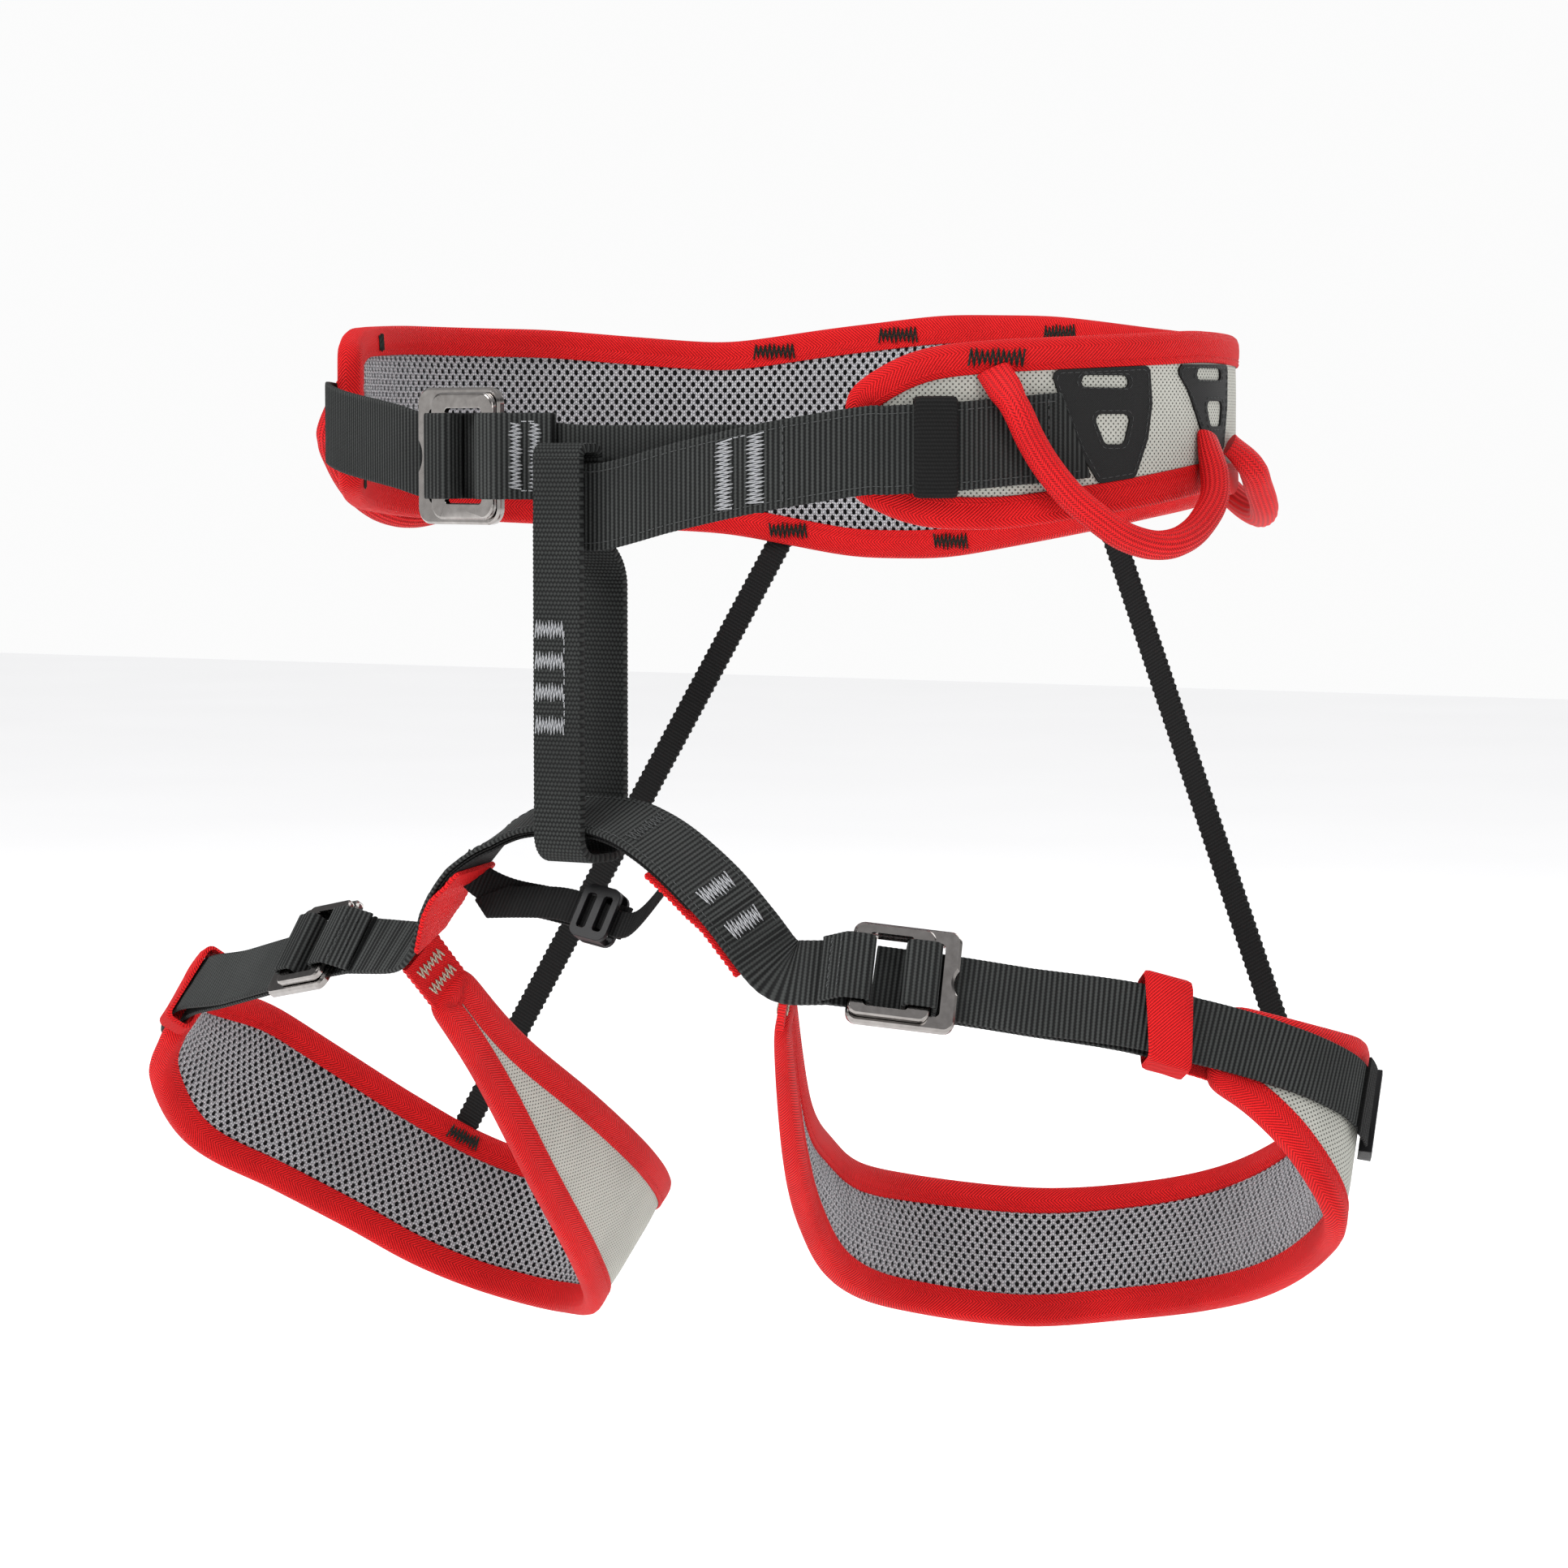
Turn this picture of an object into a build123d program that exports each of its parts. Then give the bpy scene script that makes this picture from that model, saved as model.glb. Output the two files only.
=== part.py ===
from build123d import *
from math import cos, radians, sin
import os

# Climbing sit harness, worn size M. Millimetres. +Z up, -Y front, +X the wearer's left.
# Origin: centre of the waist ring at the middle height of the belt.

# Waist ring: the belt's middle surface is an upright ellipse, swept by the angle from +X.
WAIST_A, WAIST_B = 143.0, 110.0
WING_LEFT, WING_RIGHT = -56.0, 207.0
BELT_TOP = [(-56, 11), (-53, 19), (-47, 25), (-37, 27), (0, 30.5), (30, 29), (57, 34), (75, 38.5), (92, 39.5),
            (108, 35.5), (123, 30.5), (150, 35), (180, 35.5), (200, 34), (207, 28)]
BELT_BOTTOM = [(-56, -13), (-53, -20), (-47, -24.5), (-37, -25), (0, -15), (30, -16), (57, -24), (75, -31),
               (92, -38), (105, -38), (123, -30), (150, -27), (180, -24), (200, -20), (207, -14)]
BELT_STEPS = 54

# Layers of a padded band, as offsets from its middle surface, outwards positive.
BELT_CORE, BELT_LINING, BELT_SHELL = (-2.6, 1.4), (-3.6, -2.8), (1.6, 2.2)
BELT_ROOM, BELT_SKIN = (-3.8, 2.4), (-4.6, 3.2)
LEG_CORE, LEG_LINING, LEG_SHELL = (-2.0, 1.2), (-2.9, -2.2), (1.4, 1.9)
LEG_ROOM, LEG_SKIN = (-3.1, 2.1), (-3.8, 2.8)
BINDING_LAP, BINDING_EDGE = 8.0, 1.0

# Webbing.
WAIST_WEB, LEG_WEB, BELAY_WEB, BRIDGE_WEB, CROSS_WEB = 25.0, 20.0, 16.5, 20.0, 10.0
WEB_THICK = 1.4
RISER_WIDTH, RISER_THICK, RISER_GAP = 8.0, 2.0, 2.4

# Front of the waist: the tie-in webbing (outer) and the main strap (inner). x, y, z of the middle line.
TIE_IN = [(62, -107.2, -8), (36, -111.6, -13.5), (10, -113.2, -19.5), (-8, -112.9, -17.8), (-15, -112.6, -14)]
MAIN_STRAP = [(58, -101, -8.5), (32, -104.2, -8.5), (0, -105, -8.5), (-15.5, -106.2, -7)]
WAIST_BUCKLE = ((-42, -103.8, -5), (0.985, -0.17, 0))
RIGHT_STRAP = [(-74, -97.5, -2), (-104, -82, 2), (-123, -66, 5)]
KEEPER_ANGLE, KEEPER_LENGTH = -45.5, 12.5

# Belay loop: outline in the y, z plane with its corner radii, outside the webbing.
BELAY_OUTLINE = [(-120.4, -1.2), (-108.2, -1.2), (-107.4, -25), (-95.4, -37), (-95.4, -122), (-120.4, -122)]
BELAY_RADII = [4.0, 4.0, 14, 14, 8, 8]
BELAY_THICK = 2.8

# Leg-loop bridge: x, y, z and tilt of the width from +Y, for the wearer's left half.
BRIDGE = [(0, -107.9, -108, 25), (10, -108, -108.4, 26), (21, -109, -111, 30), (34, -110, -117.5, 38),
          (48, -109.6, -128.5, 48), (58, -107.5, -140, 56), (66, -105, -151, 60)]
BRIDGE_SQUEEZE = 0.9
HINGE_Y, HINGE_Z = -105.0, -150.0
HINGE_X = {"left": 67.0, "right": -60.4}

# Thigh loops: x, y, z of the middle line and the half height of the pad, from the hinge by the
# inner thigh, the back and the outside to the front.
LEG_PATH = {
    "left": [(68, -104, -152, 8), (57, -88, -168, 8), (41, -56, -204, 10), (28, -24, -225, 15),
             (22, 6, -242, 19), (27, 38, -252, 21), (52, 67, -258, 22), (86, 75, -254, 22),
             (118, 69, -246, 23), (149, 51, -233, 25), (175, 29, -216, 27), (192, 3, -200, 28),
             (189, -17, -186, 20), (176, -32, -175, 13.5), (154, -50, -165, 11), (127, -70, -159, 10),
             (97, -89, -153.5, 10), (82, -98, -152.5, 10), (69, -104, -152.5, 10)],
    "right": [(-61, -104, -152, 8), (-59, -88, -168, 8), (-62, -60, -190, 10), (-64, -24, -219, 17),
              (-71, 14, -246, 22), (-86, 44, -263, 24), (-112, 62, -268, 24), (-141, 61, -264, 24),
              (-160, 46, -254, 24), (-174, 27, -240, 24), (-187, 4, -224, 25), (-199, -20, -208, 26),
              (-199, -42, -193, 19), (-190, -54, -183, 13.5), (-176, -64, -174, 11), (-152, -76, -168, 10),
              (-105, -93, -156.5, 10), (-82, -100, -154, 10), (-64, -104, -152.5, 10)],
}
THIGH_AXIS = {"left": (-0.11, 0.51, 0.85), "right": (0.26, 0.52, 0.81)}
LEG_STEPS_PER_SPAN = 3
PAD_FROM, PAD_TO, BUCKLE_PLACE = 2.0, 13.3, 16.0
STRIP_FROM, STRIP_TO = 0.8, 1.94
TAIL_END = 10.9
RISER_SPAN = {"left": 9.2, "right": 8.2}
RISER_ANGLE = {"left": 64, "right": 116}

# Buckles: plate sizes along the strap and across it, window ends, thicknesses.
BUCKLE = {"waist": dict(web=WAIST_WEB, length=34.0, height=40.0, bar=5.0),
          "leg": dict(web=LEG_WEB, length=31.0, height=31.0, bar=4.6)}
FRAME_THICK, SLIDE_THICK, PLATE_GAP = 2.4, 1.9, 0.4
FRAME_LIFT = 3.8
FOLD_CLEAR = 0.7

# Gear loops: start and end angles on the belt, start and end heights, drop, and how far the tube stands off.
# The two shapes are rows of share of the way, height in drops and distance out of the belt.
GEAR_LOOPS = {"gear_loop_left_front": (-38, 0, 17, -1.5, 17, 0),
              "gear_loop_left_rear": (9, 50, -4, -4, 18.5, 0),
              "gear_loop_right_front": (190, 154, 24, -2, 13.5, 8),
              "gear_loop_right_rear": (146, 122, -4, -6, 18.5, 0)}
FRONT_LOOP = [(0, 1.0, 10.2), (0.055, 0.57, 10.6), (0.1, 0.09, 10.8), (0.155, -0.36, 11), (0.235, -0.84, 11.4),
              (0.33, -1.22, 12), (0.435, -1.53, 12), (0.565, -1.69, 12), (0.69, -1.62, 12), (0.82, -1.32, 11),
              (0.93, -0.78, 9.6), (1.0, 0.0, 8.4)]
REAR_LOOP = [(0, 0.0, 8.4), (0.05, -0.22, 9.2), (0.15, -0.54, 10), (0.3, -0.86, 11), (0.5, -1.0, 11.6),
             (0.7, -0.86, 11), (0.85, -0.54, 10), (0.95, -0.22, 9.2), (1.0, 0.0, 8.4)]
GEAR_RADIUS = 4.25


def between(table, x):
    """Value at x on a polyline given as (x, value) pairs."""
    for (x0, y0), (x1, y1) in zip(table, table[1:]):
        if x <= x1:
            return y0 + (y1 - y0) * max(0.0, (x - x0) / (x1 - x0))
    return table[-1][1]


def curve(points, u):
    """Point on a smooth curve through the given points; u counts the spans."""
    i = min(int(u), len(points) - 2)
    t = u - i
    before = points[max(i - 1, 0)]
    after = points[min(i + 2, len(points) - 1)]
    result = []
    for a, b, c, d in zip(before, points[i], points[i + 1], after):
        result.append(0.5 * (2 * b + (c - a) * t + (2 * a - 5 * b + 4 * c - d) * t * t
                             + (3 * b - a - 3 * c + d) * t ** 3))
    return result


def station(point, up, out):
    """A place on a band: its middle, the direction of its width and the direction out of its face."""
    return Vector(*point), Vector(*up).normalized(), Vector(*out).normalized()


def band(stations, low, high, inner, outer):
    """Solid strip through the stations. low, high, inner and outer are numbers or one value per station."""
    wires = []
    for i, (p, up, out) in enumerate(stations):
        v0, v1, n0, n1 = [x[i] if isinstance(x, list) else x for x in (low, high, inner, outer)]
        corners = [p + up * v + out * n for v, n in ((v0, n0), (v1, n0), (v1, n1), (v0, n1))]
        wires.append(Wire.make_polygon(corners, close=True))
    return Solid.make_loft(wires, ruled=True)


def web(stations, width, middle, thickness=WEB_THICK):
    """Plain webbing of one width, its thickness centred on an offset from the stations."""
    if isinstance(middle, list):
        inner = [m - thickness / 2 for m in middle]
        outer = [m + thickness / 2 for m in middle]
    else:
        inner, outer = middle - thickness / 2, middle + thickness / 2
    return band(stations, -width / 2, width / 2, inner, outer)


def belt_station(angle, z=0.0):
    """Place on the waist ring at an angle in degrees."""
    a = radians(angle)
    return station((WAIST_A * cos(a), WAIST_B * sin(a), z), (0, 0, 1),
                   (cos(a) / WAIST_A, sin(a) / WAIST_B, 0))


def belt_angles(start, end, steps):
    return [start + (end - start) * i / steps for i in range(steps + 1)]


def belt_band(start, end, steps, margin, inner, outer):
    """Band round the waist whose edges stand inside the belt's edges by a margin."""
    angles = belt_angles(start, end, steps)
    low = [between(BELT_BOTTOM, a) + margin for a in angles]
    high = [between(BELT_TOP, a) - margin for a in angles]
    return band([belt_station(a) for a in angles], low, high, inner, outer)


def bound(skin, room, windows):
    """Edge binding: the envelope less the room for the layers and less the open middles of both faces."""
    result = skin - room
    for window in windows:
        result = result - window
    return result


def waist_layers():
    full = (WING_LEFT, WING_RIGHT, BELT_STEPS)
    edge, lap = 0.4, 3.2
    parts = {
        "waist_pad": belt_band(*full, 0, *BELT_CORE),
        "waist_lining": belt_band(*full, 0, *BELT_LINING),
        "waist_shell_fabric": belt_band(*full, 0, *BELT_SHELL),
    }
    skin = belt_band(WING_LEFT - edge, WING_RIGHT + edge, BELT_STEPS, -BINDING_EDGE, *BELT_SKIN)
    room = belt_band(WING_LEFT - 0.05, WING_RIGHT + 0.05, BELT_STEPS, -0.1, *BELT_ROOM)
    inside = (BELT_SKIN[0] - 1, BELT_ROOM[0] + 0.5)
    outside = (BELT_ROOM[1] - 0.5, BELT_SKIN[1] + 1)
    windows = [belt_band(WING_LEFT + lap, WING_RIGHT - lap, BELT_STEPS, BINDING_LAP, *faces)
               for faces in (inside, outside)]
    parts["waist_binding"] = bound(skin, room, windows)
    return parts


def path_stations(points, up=(0, 0, 1)):
    """Stations along a list of points whose width runs along up."""
    result = []
    for i, p in enumerate(points):
        ahead = points[min(i + 1, len(points) - 1)]
        behind = points[max(i - 1, 0)]
        along = Vector(*ahead) - Vector(*behind)
        out = along.cross(Vector(*up))
        if out.Y > 0:
            out = out * -1
        result.append(station(p, up, out))
    return result


def smooth_points(points, steps):
    spans = len(points) - 1
    return [curve(points, spans * i / steps) for i in range(steps + 1)]


def waist_front_webbing():
    """Webbing sewn on the left wing that crosses the front as the outer layer of the tie-in point."""
    wing = []
    for i in range(9):
        angle = -54.5 + i * 3.0
        lift = between([(-42, 6.8), (-38, 4.7), (-30, 4.5)], angle)
        p, _, out = belt_station(angle, between([(-54, -3.6), (-44, -2.4), (-24, 1.5)], angle))
        wing.append(p + out * lift)
    points = [(p.X, p.Y, p.Z) for p in reversed(wing)] + TIE_IN
    return web(path_stations(smooth_points(points, 34)), WAIST_WEB, 0.0)


def buckle_frame_of(origin, along, out):
    """Local frame of a buckle: x along the strap towards its sewn end, z out of its face."""
    return Plane(origin=Vector(*origin), x_dir=Vector(*along), z_dir=Vector(*out))


def buckle_plates(kind, place):
    """Frame plate and sliding plate of a two-plate buckle, and their windows."""
    size = BUCKLE[kind]
    half, slot = size["length"] / 2, size["web"] / 2 + 1.3
    rim = size["height"] / 2 - slot
    frame = extrude(RectangleRounded(size["length"], size["height"], rim * 0.8), FRAME_THICK / 2, both=True)
    window = (size["length"] - 2 * size["bar"], 2 * slot)
    frame -= extrude(RectangleRounded(*window, 1.5), FRAME_THICK, both=True)
    frame -= Pos(-half * 1.32, 0, FRAME_THICK) * Sphere(half * 0.42)
    frame = chamfer(frame.faces().sort_by(Axis.Z)[-1].outer_wire().edges(), 0.7)
    start, end = -half + size["bar"] + 3.0, half - 0.4
    slide_height = size["height"] - 3.0
    slide = Pos((start + end) / 2, 0, 0) * extrude(
        RectangleRounded(end - start, slide_height, rim * 0.7), SLIDE_THICK / 2, both=True)
    slide_window = (end - size["bar"] + 0.4 - (start + 6.0), 2 * slot)
    slide -= Pos((start + 6.0 + end - size["bar"] + 0.4) / 2, 0, 0) * extrude(
        RectangleRounded(*slide_window, 1.2), SLIDE_THICK, both=True)
    slide = chamfer(slide.faces().sort_by(Axis.Z)[-1].outer_wire().edges(), 0.5)
    slide_lift = FRAME_LIFT + FRAME_THICK / 2 + PLATE_GAP + SLIDE_THICK / 2
    return place * Pos(0, 0, FRAME_LIFT) * frame, place * Pos(0, 0, slide_lift) * slide


def folded(place, points, width, radius=0.9):
    """Webbing bent in the buckle's x, z plane through points (along, out)."""
    side = Plane(origin=place.origin, x_dir=place.x_dir, z_dir=place.x_dir.cross(place.z_dir))
    line = FilletPolyline(*[(x, z) for x, z in points], radius=radius)
    return side * extrude(trace(line, WEB_THICK), width / 2, both=True)


def buckle_webbing(kind, place):
    """The adjustable strap's fold over the sliding plate and the sewn loop round both plates' end bars."""
    size = BUCKLE[kind]
    half = size["length"] / 2
    top = FRAME_LIFT + FRAME_THICK / 2 + PLATE_GAP + SLIDE_THICK + FOLD_CLEAR + WEB_THICK / 2
    foot = FRAME_LIFT - FRAME_THICK / 2 - 0.9
    left = -half + size["bar"] + 1.5
    right = -half + size["bar"] + 3.0 + 6.0 + 0.7 + WEB_THICK / 2
    fold = folded(place, [(left, foot), (left, top), (right, top), (right, foot)], size["web"])
    inside = half - size["bar"] - 0.7 - WEB_THICK / 2
    under = FRAME_LIFT - FRAME_THICK / 2 - 0.5 - WEB_THICK / 2
    beyond = half + 8.0
    front = [(beyond, under + WEB_THICK + 0.1), (half + 1.5, top), (inside, top)]
    back = [(inside, under - 0.1), (beyond, under - 0.1)]
    loop = folded(place, front + back, size["web"])
    return fold, loop


def waist_buckle():
    origin, along = WAIST_BUCKLE
    out = Vector(*along).cross(Vector(0, 0, 1))
    place = buckle_frame_of(origin, along, out)
    frame, slide = buckle_plates("waist", place)
    fold, loop = buckle_webbing("waist", place)
    return {"waist_buckle_frame": frame, "waist_buckle_slide": slide, "waist_webbing_fold": fold,
            "waist_strap": loop}, place


def waist_straps(place):
    """Main strap behind the tie-in webbing, and the adjustable strap from the right wing."""
    main = web(path_stations(smooth_points(MAIN_STRAP, 14)), WAIST_WEB, 0.0)
    start = place.origin + place.x_dir * 1.0
    knee = place.origin - place.x_dir * 16.0
    wing = []
    for angle in (199, 192, 185, 178):
        p, _, out = belt_station(angle, between([(178, 6.5), (199, 5)], angle))
        wing.append(p + out * 5.0)
    points = [tuple(start), tuple(knee)] + RIGHT_STRAP + [tuple(p) for p in wing]
    right = web(path_stations(smooth_points(points, 30)), WAIST_WEB, 0.0)
    return main, right


def sleeve(stations, width, inner, outer, wall):
    """Short rectangular sleeve round a strap."""
    shell = band(stations, -width / 2 - wall, width / 2 + wall, inner - wall, outer + wall)
    ends = [stations[0], stations[-1]]
    along = (ends[1][0] - ends[0][0]).normalized()
    longer = [(ends[0][0] - along * 2, *ends[0][1:]), *stations, (ends[1][0] + along * 2, *ends[1][1:])]
    return shell - band(longer, -width / 2, width / 2, inner, outer)


def straight_stations(middle, along, up, out, length):
    return [(middle + along * s * length / 2, up, out) for s in (-1, 1)]


def belt_keeper():
    p, up, out = belt_station(KEEPER_ANGLE, -2.4)
    along = up.cross(out)
    stations = straight_stations(p + out * 6.8, along, up, out, KEEPER_LENGTH)
    return sleeve(stations, WAIST_WEB + 1.6, -1.8, 1.7, 1.0)


def overlay(start, end, openings):
    """Thin patch on the belt's outer face, between the two runs of binding, with its openings."""
    patch = belt_band(start, end, 6, BINDING_LAP + 0.5, BELT_SHELL[1] + 0.2, BELT_SHELL[1] + 0.9)
    for a0, a1, z0, z1 in openings:
        cut = [belt_station(a) for a in belt_angles(a0, a1, 2)]
        patch -= band(cut, z0, z1, 0, 6)
    return patch


def overlays():
    return {
        "overlay_left_front": overlay(-30, -16, [(-26, -17.5, 12, 16), (-23, -17.5, -3, 6)]),
        "overlay_left_rear": overlay(-8, 9, [(0.5, 7, 3, 12)]),
        "overlay_right_front": overlay(167, 181, [(168.5, 177, 13, 20), (168.5, 174, -3, 6)]),
        "overlay_right_rear": overlay(142, 159, [(144, 150.5, 5, 14)]),
    }


def gear_loop(name):
    """Tube hung from two places on the belt, standing off its outer face."""
    a0, a1, z0, z1, drop, stand = GEAR_LOOPS[name]
    front = name.endswith("front")
    shape = FRONT_LOOP if front else REAR_LOOP
    points = []
    for share, height, lift in shape:
        z = z1 + height * drop if front else z0 + (z1 - z0) * share + height * drop
        p, _, out = belt_station(a0 + (a1 - a0) * share, z)
        points.append(p + out * (lift + stand * min(1, 12 * share, 5 * (1 - share))))
    if front:
        points[0] = points[0] + Vector(0, 0, z0 - z1 - drop)
    rings = []
    count = 3 * (len(points) - 1)
    line = [Vector(*curve([tuple(q) for q in points], (len(points) - 1) * i / count)) for i in range(count + 1)]
    for i, q in enumerate(line):
        along = line[min(i + 1, count)] - line[max(i - 1, 0)]
        rings.append(Wire(Plane(origin=q, z_dir=along) * Edge.make_circle(GEAR_RADIUS)))
    return Solid.make_loft(rings, ruled=True)


def belay_loop():
    outline = FilletPolyline(*BELAY_OUTLINE, radius=BELAY_RADII, close=True)
    face = make_face(outline.edges())
    ring = face - offset(face, -BELAY_THICK)
    side = Plane(origin=(0, 0, 0), x_dir=(0, 1, 0), z_dir=(1, 0, 0))
    return side * extrude(ring, BELAY_WEB / 2, both=True)


def bridge_stations(steps=12):
    """Stations over the bridge from the wearer's right to left; the ends are cut square to the hinges.
    The right half is a little narrower, as the buckle side of the belt sits closer in."""
    half = [curve(BRIDGE, (len(BRIDGE) - 1) * i / steps) for i in range(steps + 1)]
    points = [(-x * BRIDGE_SQUEEZE, y, z, tilt) for x, y, z, tilt in reversed(half)] + half[1:]
    result = []
    for i, (x, y, z, tilt) in enumerate(points):
        ahead = Vector(*points[min(i + 1, len(points) - 1)][:3])
        behind = Vector(*points[max(i - 1, 0)][:3])
        along = (ahead - behind).normalized()
        up = Vector(0, cos(radians(tilt)), sin(radians(tilt)))
        if i in (0, len(points) - 1):
            along = Vector(1, 0, 0)
        up = (up - along * up.dot(along)).normalized()
        result.append((Vector(x, y, z), up, along.cross(up)))
    return result


def leg_bridge():
    stations = bridge_stations()
    width = BRIDGE_WEB / 2
    upper = band(stations, -width, width, -0.7, 0.7)
    lower = band(stations[4:-4], -width + 0.6, width - 0.6, -2.4, -0.9)
    strips = {}
    for side, part in (("left", stations[-9:]), ("right", stations[:9])):
        strips[side] = band(part, -width - 0.2, width - 3, -4.2, -2.7)
    return {"leg_bridge": upper, "leg_bridge_lining": lower, "bridge_strip_left": strips["left"],
            "bridge_strip_right": strips["right"]}


def leg_up(side, along):
    axis = Vector(*THIGH_AXIS[side])
    return (axis - along * axis.dot(along)).normalized()


def leg_station(side, u):
    """Place on the thigh loop, its half height, with the face direction away from the thigh."""
    points = LEG_PATH[side]
    x, y, z, half = curve(points, u)
    step = 0.05
    last = len(points) - 1
    a = Vector(*curve(points, max(u - step, 0))[:3])
    b = Vector(*curve(points, min(u + step, last))[:3])
    along = (b - a).normalized()
    up = leg_up(side, along)
    out = up.cross(along) if side == "left" else along.cross(up)
    return Vector(x, y, z), up, out, half


def leg_run(side, start, end):
    """Stations and half heights from one path place to another."""
    count = max(2, round((end - start) * LEG_STEPS_PER_SPAN))
    rows = [leg_station(side, start + (end - start) * i / count) for i in range(count + 1)]
    return [row[:3] for row in rows], [row[3] for row in rows]


def leg_band(side, start, end, margin, inner, outer):
    stations, half = leg_run(side, start, end)
    return band(stations, [-h + margin for h in half], [h - margin for h in half], inner, outer)


def leg_layers(side):
    full = (side, PAD_FROM, PAD_TO)
    skin = leg_band(side, PAD_FROM - 0.03, PAD_TO + 0.04, -BINDING_EDGE, *LEG_SKIN)
    room = leg_band(side, PAD_FROM - 0.01, PAD_TO + 0.01, -0.1, *LEG_ROOM)
    window = (side, PAD_FROM + 0.55, PAD_TO - 1.6)
    inside = (LEG_SKIN[0] - 1, LEG_ROOM[0] + 0.5)
    outside = (LEG_ROOM[1] - 0.5, LEG_SKIN[1] + 1)
    windows = [leg_band(*window, BINDING_LAP, *faces) for faces in (inside, outside)]
    return {
        f"leg_pad_{side}": leg_band(*full, 0, *LEG_CORE),
        f"leg_lining_{side}": leg_band(*full, 0, *LEG_LINING),
        f"leg_shell_fabric_{side}": leg_band(*full, 0, *LEG_SHELL),
        f"leg_binding_{side}": bound(skin, room, windows),
        f"leg_inner_strip_{side}": leg_band(side, STRIP_FROM, STRIP_TO, 0.5, -1.5, 1.5),
    }


def strap_lift(u):
    """How far the strap's tail stands off the loop's middle surface: over the pad, then free."""
    return between([(13.0, 4.2), (14.0, 3.2), (15.0, 0.9), (18, 0.9)], u)


def strap_rise(u):
    """How far the tail lies above the pad's middle line."""
    return between([(10.5, 10.0), (11.5, 8.0), (12.6, 3.0), (13.6, 0.0), (18, 0.0)], u)


def leg_buckle_place(side):
    p, up, out, _ = leg_station(side, BUCKLE_PLACE)
    along = up.cross(out)
    if (leg_station(side, BUCKLE_PLACE + 1)[0] - p).dot(along) < 0:
        along = along * -1
    return buckle_frame_of(tuple(p), tuple(along), tuple(out))


def raised(stations, rises):
    return [(p + up * r, up, out) for (p, up, out), r in zip(stations, rises)]


def strap_places(start, end, count):
    return [start + (end - start) * i / count for i in range(count + 1)]


def leg_straps(side, place, loop):
    """Strap sewn to the pad's front tip, its tail over the pad, and the doubled stub to the bridge."""
    stop = place.origin + place.x_dir * 1.5
    places = strap_places(TAIL_END, 15.6, 22)
    stations = [leg_station(side, u)[:3] for u in places]
    tail_run = raised(stations, [strap_rise(u) for u in places]) + [(stop, *stations[-1][1:])]
    lift = [strap_lift(u) for u in places] + [0.9]
    fixed_run = [s for s, u in zip(stations, places) if u > PAD_TO + 0.2] + [(stop, *stations[-1][1:])]
    joint_end = Vector(HINGE_X[side], HINGE_Y, HINGE_Z)
    sewn = place.origin + place.x_dir * 24.0 + place.z_dir * 2.0
    up = stations[-1][1]
    square_up = Vector(0, up.Y, up.Z).normalized()
    square_out = Vector(0, place.z_dir.Y, place.z_dir.Z).normalized()
    square_out = (square_out - square_up * square_out.dot(square_up)).normalized()
    clear = Vector(1.0 if side == "left" else -1.0, 0, 0)
    end = (joint_end + square_out * 0.5 + clear, square_up, square_out)
    stub = [(sewn, up, place.z_dir), end]
    return {
        f"leg_strap_{side}": band(fixed_run, -LEG_WEB / 2, LEG_WEB / 2, -1.5, -0.1),
        f"leg_strap_tail_{side}": web(tail_run, LEG_WEB, lift),
        f"leg_buckle_stub_{side}": Compound([band(stub, -LEG_WEB / 2, LEG_WEB / 2, -1.4, 1.4), loop]),
    }


def leg_keeper(side):
    """Folded tape loop round the strap just ahead of the pad's tip."""
    stations = [leg_station(side, u)[:3] for u in (13.62, 13.85, 14.08)]
    return sleeve(stations, LEG_WEB + 1.6, -2.4, 5.6, 1.2)


def strap_end(side):
    """Elastic band over the strap's tail and the plastic clip on its end."""
    places = strap_places(TAIL_END + 0.06, TAIL_END + 0.36, 2)
    rows = raised([leg_station(side, u)[:3] for u in places], [strap_rise(u) for u in places])
    elastic = band(rows, -12.5, 12.5, 5.1, 6.1)
    places = strap_places(TAIL_END - 0.28, TAIL_END - 0.03, 2)
    rows = raised([leg_station(side, u)[:3] for u in places], [strap_rise(u) for u in places])
    clip = band(rows, -13, 13, 3.2, 7.2)
    return {f"strap_end_band_{side}": elastic, f"strap_end_clip_{side}": clip}


def riser(side):
    """Elastic from the belt's lower edge to the top edge of the thigh pad behind."""
    angle = RISER_ANGLE[side]
    top = belt_station(angle, between(BELT_BOTTOM, angle) - RISER_GAP)[0]
    p, leg_dir, _, half = leg_station(side, RISER_SPAN[side])
    foot = p + leg_dir * (half + RISER_GAP)
    across = Vector(0.9, -0.2 if side == "left" else 0.2, 0)
    along = (foot - top).normalized()
    across = (across - along * across.dot(along)).normalized()
    face = along.cross(across)
    return band([(top, across, face), (foot, across, face)], -RISER_WIDTH / 2, RISER_WIDTH / 2,
                -RISER_THICK / 2, RISER_THICK / 2)


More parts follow.
